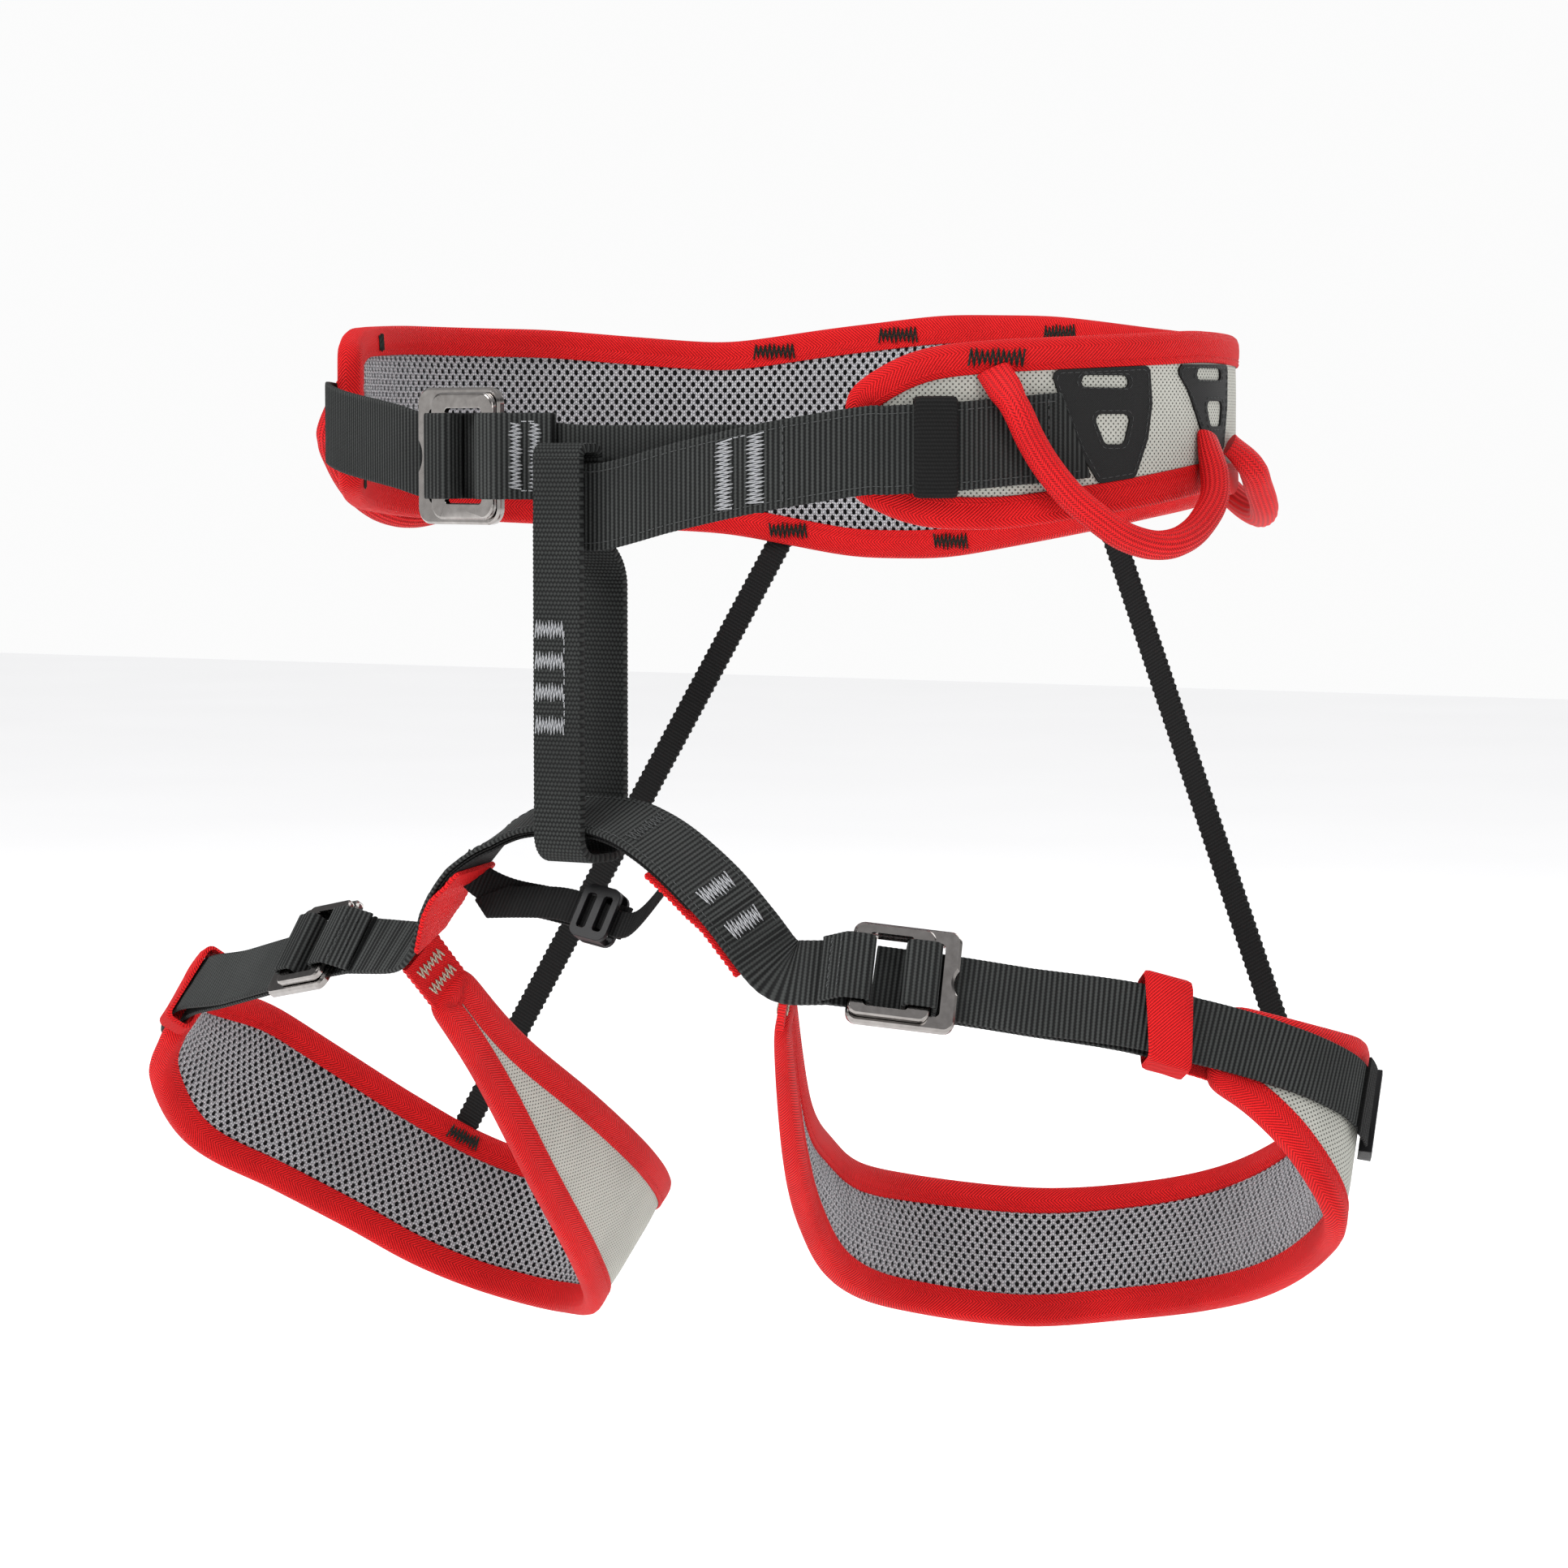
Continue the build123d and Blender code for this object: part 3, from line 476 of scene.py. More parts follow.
def perforated(name, strip, s, layers, finish):
    """Spacer mesh with its staggered oval holes, open down to the foam."""
    inner, outer = layers["lining"]
    half = HOLE_PITCH / 2
    spacing = int((s[1] - s[0] - 10) / half)
    rows = int((strip.rows[:, 10].max() - strip.rows[:, 9].min()) / HOLE_ROW) + 1
    base = strip.rows[:, 9].min()
    i, k = np.indices((rows, spacing - 1))
    chosen = (i + k) % 2 == 0
    i, k = i[chosen], k[chosen]
    s_mid, v_mid = s[0] + 5 + (k + 1) * half, base + (i + 0.5) * HOLE_ROW
    low, high = strip.edges(s_mid)
    inside = (v_mid > low + 5.9) & (v_mid < high - 5.9)
    i, k, s_mid, v_mid = i[inside], k[inside], s_mid[inside], v_mid[inside]
    corner_keys = [(i, k), (i, k + 1), (i, k + 2), (i + 1, k + 2), (i + 1, k + 1), (i + 1, k)]
    keys = np.stack([a * (spacing + 3) + b for a, b in corner_keys], -1)
    unique, index = np.unique(keys, return_inverse=True)
    index = index.reshape(keys.shape)
    line, column = unique // (spacing + 3), unique % (spacing + 3)
    zigzag = np.where((line + column) % 2 == 0, HOLE_ZIGZAG, -HOLE_ZIGZAG)
    s_net, v_net = s[0] + 5 + column * half, base + line * HOLE_ROW + zigzag
    s_hole = s_mid[:, None] + HOLE_HALF[0] * np.array([-1, 0, 1, 1, 0, -1])
    v_hole = v_mid[:, None] + HOLE_HALF[1] * np.array([-0.48, -1, -0.48, 0.48, 1, 0.48])
    swell_net = strip.crown(s_net, v_net, layers["crown"][0])
    swell_hole = strip.crown(s_hole, v_hole, layers["crown"][0])
    front_net = strip.at(s_net, v_net, inner - swell_net)
    back_net = strip.at(s_net, v_net, outer - swell_net)
    front_hole = strip.at(s_hole, v_hole, inner - swell_hole + 0.12).reshape(-1, 3)
    back_hole = strip.at(s_hole, v_hole, outer - swell_hole).reshape(-1, 3)
    nets, holes = len(s_net), len(s_hole) * 6
    ring = np.arange(holes).reshape(-1, 6)
    front, back = index, index + nets
    hole_front, hole_back = ring + 2 * nets, ring + 2 * nets + holes
    after = np.roll(np.arange(6), -1)
    faces = [np.stack([front, front[:, after], hole_front[:, after], hole_front], -1),
             np.stack([hole_front, hole_front[:, after], hole_back[:, after], hole_back], -1),
             np.stack([hole_back, hole_back[:, after], back[:, after], back], -1)]
    faces = np.concatenate([f.reshape(-1, 4) for f in faces])
    sides = np.sort(np.stack([front, front[:, after]], -1).reshape(-1, 2), axis=1)
    edges, counts = np.unique(sides, axis=0, return_counts=True)
    rim = edges[counts == 1]
    walls = np.stack([rim[:, 0], rim[:, 1], rim[:, 1] + nets, rim[:, 0] + nets], -1)
    faces = np.concatenate([faces, walls])
    points = np.concatenate([front_net, back_net, front_hole, back_hole])
    net, hole = np.stack([s_net, v_net], -1), np.stack([s_hole.ravel(), v_hole.ravel()], -1)
    flat = np.concatenate([net, net, hole, hole])
    sheet = Shape()
    sheet.add(points, faces, flat[faces])
    return sheet.object(name, finish, sharp=35)


def slab(name, strip, s, margin, layer, crowns, finish, steps=3.0):
    """Closed sheet or pad inside a pad's outline, swelling between the bindings."""
    places = np.linspace(s[0] + margin, s[1] - margin, int((s[1] - s[0]) / steps))
    low, high = strip.edges(places)
    low, high = low + margin, high - margin
    tuck = np.clip(np.minimum(places - places[0], places[-1] - places) / 8, 0.25, 1) ** 0.5
    middle = (low + high) / 2
    low, high = middle + (low - middle) * tuck, middle + (high - middle) * tuck
    share = np.linspace(0, 1, 17)
    heights = low[:, None] + (high - low)[:, None] * share
    along = np.broadcast_to(places[:, None], heights.shape)
    swell = strip.crown(along, heights, 1.0)
    outer = strip.at(along, heights, layer[1] + swell * crowns[1])
    inner = strip.at(along, heights, layer[0] - swell * crowns[0])
    points = np.concatenate([outer, inner[:, ::-1]], 1)
    uv = np.stack([along, heights], -1)
    uv = np.concatenate([uv, uv[:, ::-1], uv[:, :1]], 1)
    sheet = Shape()
    sheet.grid(points, uv, wrap_columns=True, caps=True)
    return sheet.object(name, finish)


def patch(shape, strip, outline, windows, n, grid=3.0):
    """Thin piece cut to an outline with windows, laid on a strip between two offsets."""
    loops = [outline] + windows
    points, edges = [], []
    for loop in loops:
        start = len(points)
        for i, here in enumerate(loop):
            ahead = loop[(i + 1) % len(loop)]
            parts = max(1, int(np.hypot(*(ahead - here)) / 1.5))
            points += [Vector(here + (ahead - here) * k / parts) for k in range(parts)]
        count = len(points) - start
        edges += [(start + i, start + (i + 1) % count) for i in range(count)]
    low, high = outline.min(0), outline.max(0)
    for x in np.arange(low[0], high[0], grid):
        points += [Vector((x, y)) for y in np.arange(low[1], high[1], grid)]
    flat, _, faces = delaunay_2d_cdt(points, edges, [], 0, 1e-4)[:3]
    flat = np.array(flat)

    def inside(loop, place):
        a, b = loop, np.roll(loop, -1, axis=0)
        crossing = (a[:, 1] > place[1]) != (b[:, 1] > place[1])
        x = a[:, 0] + (place[1] - a[:, 1]) / np.where(crossing, b[:, 1] - a[:, 1], 1) * (b[:, 0] - a[:, 0])
        return bool((crossing & (place[0] < x)).sum() % 2)

    kept = []
    for face in faces:
        middle = flat[list(face)].mean(0)
        if inside(outline, middle) and not any(inside(w, middle) for w in windows):
            kept.append(list(face))
    kept = np.array(kept)
    sides = np.concatenate([kept[:, [0, 1]], kept[:, [1, 2]], kept[:, [2, 0]]])
    keys, counts = np.unique(np.sort(sides, axis=1), axis=0, return_counts=True)
    rim = keys[counts == 1]
    total = len(flat)
    top = strip.at(flat[:, 0], flat[:, 1], n[1])
    under = strip.at(flat[:, 0], flat[:, 1], n[0])
    flat2 = np.concatenate([flat, flat])
    shape.add(np.concatenate([top, under]), np.concatenate([kept, kept[:, ::-1] + total]),
              flat2[np.concatenate([kept, kept[:, ::-1] + total])])
    walls = np.stack([rim[:, 0], rim[:, 1], rim[:, 1] + total, rim[:, 0] + total], -1)
    shape.count -= 2 * total
    shape.faces.extend((walls + shape.count).tolist())
    shape.uvs.append(flat2[walls].reshape(-1, 2))
    shape.count += 2 * total


# ---------------------------------------------------------------- materials

def softened(obj, width):
    """Rounds the sharp edges of a hard part by a width in millimetres."""
    weld = obj.modifiers.new("weld", "WELD")
    weld.merge_threshold = 0.01 * MM
    bevel = obj.modifiers.new("bevel", "BEVEL")
    bevel.width = width * MM
    bevel.segments = 3
    bevel.angle_limit = radians(30)


def linear(colour):
    """8-bit sRGB to scene-linear."""
    c = np.array(colour, float) / 255
    return (*np.where(c <= 0.04045, c / 12.92, ((c + 0.055) / 1.055) ** 2.4), 1.0)


class Finish:
    """A material's node tree, put together by short calls."""

    def __init__(self, name, roughness=0.8, metallic=0.0, specular=0.5):
        self.material = bpy.data.materials.new(name)
        self.material.use_nodes = True
        self.tree = self.material.node_tree
        self.shader = self.tree.nodes["Principled BSDF"]
        self.set("Roughness", roughness)
        self.set("Metallic", metallic)
        self.set("Specular IOR Level", specular)
        uv = self.tree.nodes.new("ShaderNodeUVMap")
        uv.uv_map = "UVMap"
        split = self.tree.nodes.new("ShaderNodeSeparateXYZ")
        self.tree.links.new(uv.outputs[0], split.inputs[0])
        self.u, self.v = split.outputs[0], split.outputs[1]
        self.place = self.tree.nodes.new("ShaderNodeTexCoord").outputs["Object"]

    def join(self, value_or_socket, socket):
        if isinstance(value_or_socket, bpy.types.NodeSocket):
            self.tree.links.new(value_or_socket, socket)
        else:
            socket.default_value = value_or_socket

    def set(self, name, value_or_socket):
        self.join(value_or_socket, self.shader.inputs[name])

    def math(self, operation, a, b=0.0, c=0.0):
        node = self.tree.nodes.new("ShaderNodeMath")
        node.operation = operation
        for number, socket in zip((a, b, c), node.inputs):
            self.join(number, socket)
        return node.outputs[0]

    def plus(self, a, b):
        return self.math("ADD", a, b)

    def minus(self, a, b):
        return self.math("SUBTRACT", a, b)

    def times(self, a, b):
        return self.math("MULTIPLY", a, b)

    def scaled(self, a, factor, base):
        return self.math("MULTIPLY_ADD", a, factor, base)

    def fuzzed(self, height, amount, scale=2200):
        """Height with fine fibres over it."""
        return self.scaled(self.noise(scale, 2), amount, height)

    def turned_back(self, width):
        """Distance across that runs up and down again over each width."""
        return self.math("ABSOLUTE", self.minus(self.math("MODULO", self.v, width), width / 2))

    def wave(self, coordinate, pitch, shift=0.0):
        """0 to 1 and back once every pitch."""
        turn = self.scaled(coordinate, 2 * np.pi / pitch, shift)
        return self.scaled(self.math("SINE", turn), 0.5, 0.5)

    def noise(self, scale, detail=3.0):
        """Noise from 0 to 1; scale counts lumps in a metre."""
        node = self.tree.nodes.new("ShaderNodeTexNoise")
        node.inputs["Scale"].default_value = scale
        node.inputs["Detail"].default_value = detail
        self.tree.links.new(self.place, node.inputs["Vector"])
        return node.outputs["Fac"]

    def ramp(self, factor, low, high):
        """0 below low, 1 above high, smooth between."""
        node = self.tree.nodes.new("ShaderNodeMapRange")
        node.interpolation_type = "SMOOTHSTEP"
        self.join(factor, node.inputs["Value"])
        node.inputs["From Min"].default_value = low
        node.inputs["From Max"].default_value = high
        return node.outputs["Result"]

    def mix(self, factor, a, b):
        node = self.tree.nodes.new("ShaderNodeMix")
        node.data_type = "RGBA"
        self.join(factor, node.inputs["Factor"])
        self.join(a, node.inputs[6])
        self.join(b, node.inputs[7])
        return node.outputs[2]

    def colour(self, dark, light, factor, cloud=0.12, lumps=40.0):
        """Colour between dark and light by factor, a little uneven over larger patches."""
        base = self.mix(factor, linear(dark), linear(light))
        uneven = self.times(self.ramp(self.noise(lumps), 0.35, 0.7), cloud)
        self.set("Base Color", self.mix(uneven, base, linear(dark)))

    def bump(self, height, distance, strength=1.0):
        node = self.tree.nodes.new("ShaderNodeBump")
        node.inputs["Strength"].default_value = strength
        node.inputs["Distance"].default_value = distance * MM
        self.join(height, node.inputs["Height"])
        self.tree.links.new(node.outputs[0], self.shader.inputs["Normal"])


def ribbed(name, dark, light, rib, yarn, weave=0.2, roughness=0.78):
    """Plain woven webbing: cross ribs with yarns running over them. Its colour follows their height: painted
    shade in the grooves, painted highlight on the rib and yarn tops, with fine fibre tone over it.
    """
    f = Finish(name, roughness, specular=0.2)
    ribs = f.wave(f.u, rib, -np.pi / 2)
    every_other = f.math("GREATER_THAN", f.wave(f.u, 2 * rib), 0.5)
    yarns = f.wave(f.plus(f.v, f.times(every_other, yarn / 2)), yarn)
    height = f.plus(f.times(ribs, 1 - weave), f.times(yarns, weave))
    fuzz = f.fuzzed(height, 0.35, 2600)
    # Painted shade and highlight: the colour runs from dark in the grooves to light on the tops of ribs and
    # yarns.
    f.colour(dark, light, f.ramp(fuzz, 0.35, 1.15), cloud=0.25)
    f.bump(fuzz, 0.16)
    return f.material


def twill(name, dark, light, pitch=1.15, fold=9.0):
    """Binding tape with diagonal ribs that turn back along its middle."""
    f = Finish(name, 0.66, specular=0.16)
    zig = f.turned_back(fold)
    rib = f.wave(f.scaled(zig, 1.1, f.u), pitch)
    yarn = f.wave(f.scaled(zig, -0.9, f.u), 0.75)
    height = f.plus(f.times(rib, 0.75), f.times(yarn, 0.25))
    fuzz = f.fuzzed(height, 0.25)
    f.colour(dark, light, f.ramp(fuzz, 0.15, 0.95), cloud=0.2)
    f.bump(fuzz, 0.34)
    return f.material


def make_finishes():
    finishes = {}
    f = Finish("foam", 0.95)
    f.colour((8, 8, 9), (20, 20, 22), f.noise(900), cloud=0.3)
    f.bump(f.noise(1500), 0.15)
    finishes["foam"] = f.material

    f = Finish("spacer_mesh", 0.8, specular=0.2)
    first = f.wave(f.u, 0.83)
    knit = f.times(first, f.wave(f.plus(f.v, f.times(f.wave(f.u, 1.65), 0.3)), 1.0))
    fuzz = f.fuzzed(knit, 0.4, 3000)
    f.colour((112, 112, 115), (188, 188, 191), f.ramp(fuzz, 0.1, 0.9), cloud=0.2)
    f.bump(fuzz, 0.12)
    finishes["lining"] = f.material

    f = Finish("outer_mesh", 0.75, specular=0.2)
    first, second = f.plus(f.u, f.v), f.minus(f.u, f.v)
    dots = f.times(f.wave(first, 1.7), f.wave(second, 1.7))
    pits = f.ramp(dots, 0.62, 0.85)
    f.colour((52, 52, 49), (178, 178, 170), f.minus(1.0, pits), cloud=0.12)
    f.bump(f.minus(1.0, f.ramp(dots, 0.3, 0.9)), 0.25)
    finishes["mesh"] = f.material

    finishes["binding"] = twill("red_twill", (140, 2, 6), (236, 26, 29))
    finishes["tape"] = twill("red_tape", (140, 2, 6), (232, 25, 28), pitch=1.0, fold=400.0)
    # For the webbings below, the first colour is painted shade in the rib grooves and the second is painted
    # highlight on the rib tops.
    finishes["webbing"] = ribbed("charcoal_webbing", (15, 16, 16), (60, 62, 61), RIB, 1.0)
    finishes["belay"] = ribbed("black_webbing", (8, 9, 9), (52, 54, 53), 1.3, 1.25, 0.5)
    finishes["elastic"] = ribbed("black_elastic", (4, 4, 4), (24, 24, 24), 1.1, 0.8, 0.3)
    finishes["strap"] = ribbed("black_tape", (5, 5, 5), (28, 28, 28), 1.2, 0.8, 0.3)

    f = Finish("black_patch", 0.6, specular=0.25)
    weave = f.times(f.wave(f.plus(f.u, f.v), 0.7), f.wave(f.minus(f.u, f.v), 0.7))
    f.colour((10, 10, 10), (30, 30, 30), weave, cloud=0.3)
    f.bump(weave, 0.08)
    finishes["patch"] = f.material

    f = Finish("red_sleeve", 0.6, specular=0.2)
    ridge = 2 * np.pi * GEAR_RADIUS / GEAR_RIDGES
    zig = f.turned_back(2 * ridge)
    yarns = f.wave(f.scaled(zig, 0.9, f.u), 0.85)
    braid = f.scaled(yarns, 0.6, f.times(f.wave(f.v, ridge), 0.4))
    fuzz = f.fuzzed(braid, 0.2)
    f.colour((130, 0, 6), (236, 22, 26), f.ramp(fuzz, 0.15, 1.0), cloud=0.2)
    f.bump(fuzz, 0.22)
    finishes["sleeve"] = f.material

    for name, dark, light in (
            ("white_thread", (96, 98, 100), (190, 191, 194)), ("grey_thread", (30, 31, 31), (84, 86, 86)),
            ("dark_thread", (10, 14, 12), (38, 46, 40)), ("beige_thread", (110, 100, 88), (186, 176, 158)),
            ("red_thread", (150, 4, 8), (214, 30, 32))):
        f = Finish(name, 0.65, specular=0.2)
        strands = f.wave(f.plus(f.u, f.v), 1.5)
        f.colour(dark, light, f.ramp(f.fuzzed(strands, 0.8, 2500), 0.3, 1.3), cloud=0.1)
        f.bump(strands, 0.05)
        finishes[name] = f.material

    f = Finish("polished_steel", 0.16, metallic=1.0)
    hairlines = f.noise(420, 6)
    f.colour((122, 118, 115), (172, 168, 165), hairlines, cloud=0.3, lumps=90)
    f.set("Roughness", f.scaled(f.noise(800, 4), 0.12, 0.08))
    f.bump(f.noise(160, 1), 0.12, 0.5)
    finishes["steel"] = f.material

    f = Finish("black_plastic", 0.46, specular=0.22)
    grain = f.noise(2400, 3)
    f.colour((6, 6, 7), (20, 20, 22), grain, cloud=0.3)
    f.bump(grain, 0.05)
    finishes["plastic"] = f.material

    f = Finish("floor", 0.9, specular=0.0)
    f.colour((238, 238, 238), (246, 246, 246), f.noise(3, 2), cloud=0.05, lumps=1.0)
    f.set("Emission Color", (1, 1, 1, 1))
    f.set("Emission Strength", 0.42)
    finishes["floor"] = f.material
    return finishes


FINISH = make_finishes()


SLOTS = {"tape": "red_binding", "webbing": "charcoal_webbing", "belay": "belay_webbing",
         "elastic": "black_elastic", "strap": "black_tape", "patch": "black_patch", "sleeve": "red_sleeve"}


def piece(obj, body, slot, *nodes):
    """Parents a finished piece to the empty of the body it moves with and hides the CAD nodes it stands for.
    slot, its finish, is not used.
    """
    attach(obj, body)
    if nodes:
        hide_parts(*nodes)
    return obj


def made(shape, name, finish, body, slot=None, sharp=42.0):
    """A piece that stands for the node of its name, or sewing where the slot of what it holds is given."""
    obj = shape.object(name, FINISH[finish], sharp)
    return piece(obj, body, slot) if slot else piece(obj, body, SLOTS[finish], name)


def band(name, finish, body, strip, s, v, n, **options):
    """Webbing that is a piece of its own."""
    shape = Shape()
    webbing(shape, strip, s, v, n, **options)
    return made(shape, name, finish, body)


def hinged(obj, start_body, end_body, start, end, slot, *nodes):
    """Bakes a soft piece that crosses a hinge into world space and hides the CAD nodes it stands for."""
    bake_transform(obj)
    if nodes:
        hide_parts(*nodes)


def padding(naming, body, strip, layers):
    """Foam, lining, outer fabric and bound edge of a padded band. naming has a gap for each layer's word."""
    span, crowns = (0.0, strip.length), layers["crown"]
    flush = (-crowns[1], crowns[1])
    pad, lining, shell, edge = (naming.format(word) for word in ("pad", "lining", "shell_fabric", "binding"))
    foam = slab(pad, strip, span, 1.0, layers["core"], crowns, FINISH["foam"])
    piece(foam, body, "foam_pad", pad)
    piece(perforated(lining, strip, span, layers, FINISH["lining"]), body, "spacer_mesh", lining)
    piece(slab(shell, strip, span, 3.0, layers["shell"], flush, FINISH["mesh"]), body, "outer_mesh", shell)
    tape, seams = binding(edge, strip, span, layers)
    piece(tape, body, "red_binding", edge)
    piece(seams, body, "red_binding")


# ---------------------------------------------------------------- waist belt

def belt_place(angle, z=0.0):
    """Point on the belt's middle surface at an angle, and the direction out of it."""
    a = radians(angle)
    out = unit(np.array([cos(a) / WAIST_A, sin(a) / WAIST_B, 0]))
    return np.array([WAIST_A * cos(a), WAIST_B * sin(a), z]), out


def belt_strip():
    angles = np.arange(WING_LEFT, WING_RIGHT + 0.1, 0.5)
    places = [belt_place(a) for a in angles]
    low = smoothed(between(BELT_BOTTOM, angles), 5.0)
    high = smoothed(between(BELT_TOP, angles), 5.0)
    strip = Strip([p for p, out in places], (0, 0, 1), [out for p, out in places], low, high)
    return strip, lambda angle: np.interp(angle, angles, strip.s[1:-1])


WAIST, belt_s = belt_strip()


# Bar tacks over the belt's binding: edge, face, length, angles.
EDGE_TACKS = [("top", -1, 14, (116, 98, 72)), ("bottom", -1, 14, (64,)), ("top", -1, 4, (192,)),
              ("bottom", -1, 13, (114, 90)), ("bottom", -1, 4, (204,)), ("top", 1, 16, (-37.5, 189))]


def waist_belt():
    padding("waist_{}", "waist_belt", WAIST, BELT)
    tacks = Shape()
    for edge, face, length, angles in EDGE_TACKS:
        for angle in angles:
            tack_on_edge(tacks, belt_s(angle), edge, face, length)
    made(tacks, "waist_binding_tacks", "dark_thread", "waist_belt", "black_tape")


def tack_on_edge(shape, s, edge, face, length):
    """Bar tack along the binding at the belt's top or bottom edge, on its outer (1) or inner (-1) face."""
    low, high = WAIST.edges(s)
    middle = high - 4.0 if edge == "top" else low + 4.0
    n = BELT["skin"][1] if face > 0 else BELT["skin"][0] - 0.1
    half = length / 2
    shape.tack(WAIST, (s - half, s + half), (middle - 2.4, middle + 2.4), n, face, 1.5, False, 0.3)


def overlay(name, outline, windows):
    """Black patch on the belt's outer face with rounded windows and light stitching round them."""
    def to_strip(loop):
        s = np.array([belt_s(a) for a, z in loop])
        z = np.array([z for a, z in loop], float)
        low, high = WAIST.edges(s)
        return np.stack([s, np.clip(z, low + BINDING_LAP + 0.35, high - BINDING_LAP - 0.35)], -1)

    shape_line = rounded(to_strip(outline), 2.0, closed=True, arc_steps=4)
    holes = [rounded(to_strip(w), 1.8, closed=True, arc_steps=5) for w in windows]
    cloth, seams = Shape(), Shape()
    level = BELT["shell"][1] + BELT["crown"][1]
    patch(cloth, WAIST, shape_line, holes, (level + 0.02, level + 0.7))
    for loop, gap in [(shape_line, -1.3)] + [(h, 1.3) for h in holes]:
        middle = loop.mean(0)
        away = unit(loop - middle)
        ring = loop + away * gap
        ring = np.vstack([ring, ring[:1]])
        seams.stitches(WAIST, ring[:, 0], ring[:, 1], level + 0.72, 1, 1.5, 0.8, 0.12)
    made(cloth, name, "patch", "waist_belt")
    made(seams, f"{name}_stitches", "grey_thread", "waist_belt", "black_patch")


# The belt's black patches as angles and heights: the outline, then its two windows.
OVERLAYS = {
    "left_front": [
        [(-30, 24), (-13.5, 24), (-13, 10), (-13.8, 0), (-16.2, -18), (-22.5, -18), (-25.5, -4), (-28.2, 9)],
        [(-27.0, 18), (-16.5, 18), (-18, 14.4), (-25, 14.6)],
        [(-23.6, 7), (-17, 7), (-18.3, -1.6), (-21.6, -1.6)]],
    "left_rear": [
        [(-8.5, 30), (9, 30), (9, 10), (7.5, -2), (4.5, -9), (2.2, -9), (-1.5, 4), (-4.8, 14)],
        [(-4, 20.5), (6.5, 20.5), (5.5, 17), (-2, 17)],
        [(0.3, 11), (6.5, 11), (5.8, 3.6), (1.8, 3.6)]],
    "right_front": [
        [(181, 30), (166, 30), (166, 12), (167, 0), (169.5, -18), (176, -18), (178, -4), (180, 9)],
        [(178.5, 23.5), (168.5, 23.5), (170, 19), (177.5, 19)],
        [(175.5, 8), (169, 8), (170.4, -1), (173.6, -1)]],
    "right_rear": [
        [(159, 30), (142, 30), (142, 10), (143.2, -2), (146.5, -12), (149, -12), (152.5, 4), (155.6, 15)],
        [(155, 23), (144.5, 23), (145.5, 19), (153, 19)],
        [(151.4, 13), (145, 13), (145.8, 4.4), (149.6, 4.4)]],
}


# ---------------------------------------------------------------- waist webbing and buckle

def path_strip(points, half):
    """Strap along a path that lies level; its width runs up and its face looks to the front."""
    along = np.gradient(points, axis=0)
    outs = np.cross(along, (0, 0, 1))
    outs[outs[:, 1] > 0] *= -1
    outs = np.stack([smoothed(outs[:, k], 2) for k in range(3)], -1)
    return Strip(points, (0, 0, 1), outs, -half, half)


def buckle_place(kind, side=None):
    """Origin of a buckle with its directions: along the strap, across it and out of its face."""
    if kind == "waist":
        origin, along = (np.array(x, float) for x in WAIST_BUCKLE)
        along = unit(along)
        out = np.cross(along, (0, 0, 1))
        return origin, along, np.cross(out, along), out
    p, up, out, half = leg_place(side, LEG_BUCKLE_AT)
    along = np.cross(up, out)
    if (leg_place(side, LEG_BUCKLE_AT + 1)[0] - p) @ along < 0:
        along = -along
    return p, along, np.cross(out, along), out


def buckle_line(place, points, radius, sign=1):
    """Strap bent in a buckle's plane through points (along, out); sign turns its face over."""
    origin, along, across, out = place
    flat = rounded(points, radius, arc_steps=6)
    line = origin + flat[:, :1] * along + flat[:, 1:] * out
    ahead = np.gradient(flat, axis=0)
    faces = -ahead[:, 1:] * along + ahead[:, :1] * out
    return Strip(line, across, faces * sign, 0, 0)


def buckle_webbing(kind, place, front=(), back=()):
    """The strap's fold over the sliding plate, and the sewn loop round both end bars. The loop's two
    layers may run on through more points of their own."""
    size = BUCKLE[kind]
    half = size["length"] / 2
    top = FRAME_LIFT + FRAME_THICK / 2 + PLATE_GAP + SLIDE_THICK + FOLD_CLEAR + WEB_THICK / 2
    foot = FRAME_LIFT - FRAME_THICK / 2 - 0.9
    left = -half + size["bar"] + 1.5
    right = -half + size["bar"] + SLOT_LENGTH + SLIDE_BAR + FOLD_CLEAR + WEB_THICK / 2
    inside = half - size["bar"] - FOLD_CLEAR - WEB_THICK / 2
    under = FRAME_LIFT - FRAME_THICK / 2 - 0.5 - WEB_THICK / 2
    beyond = half + SEWN_REACH
    fold = buckle_line(place, [(left, foot), (left, top), (right, top), (right, foot)], 1.9)
    first = [*front, (beyond, under + WEB_THICK + 0.1)]
    last = [(beyond, under - 0.1), *back]
    corners = [(half + 1.5, top), (inside, top), (inside, under - 0.1)]
    radii = [9.0] * len(first) + [3.0, 1.9, 1.3] + [9.0] * len(last)
    loop = buckle_line(place, first + corners + last, radii, -1)
    return fold, loop


def strap_along(shape, strip, width, middle=0.0, **options):
    """Plain webbing over a whole strip, its thickness centred on an offset."""
    half = WEB_THICK / 2
    n = (middle - half, middle + half)
    webbing(shape, strip, (0.0, strip.length), (-width / 2, width / 2), n, **options)


# Lengths along the left waist webbing where it is sewn: zigzag tacks, seam between them, rows across.
TIE_IN_TACKS, TIE_IN_SEAM, TIE_IN_ROWS = (107.8, 98.3), (100.9, 105.3), (90.3, 13.5)
WAIST_LOOP_TACKS = (5.0, 11.0)


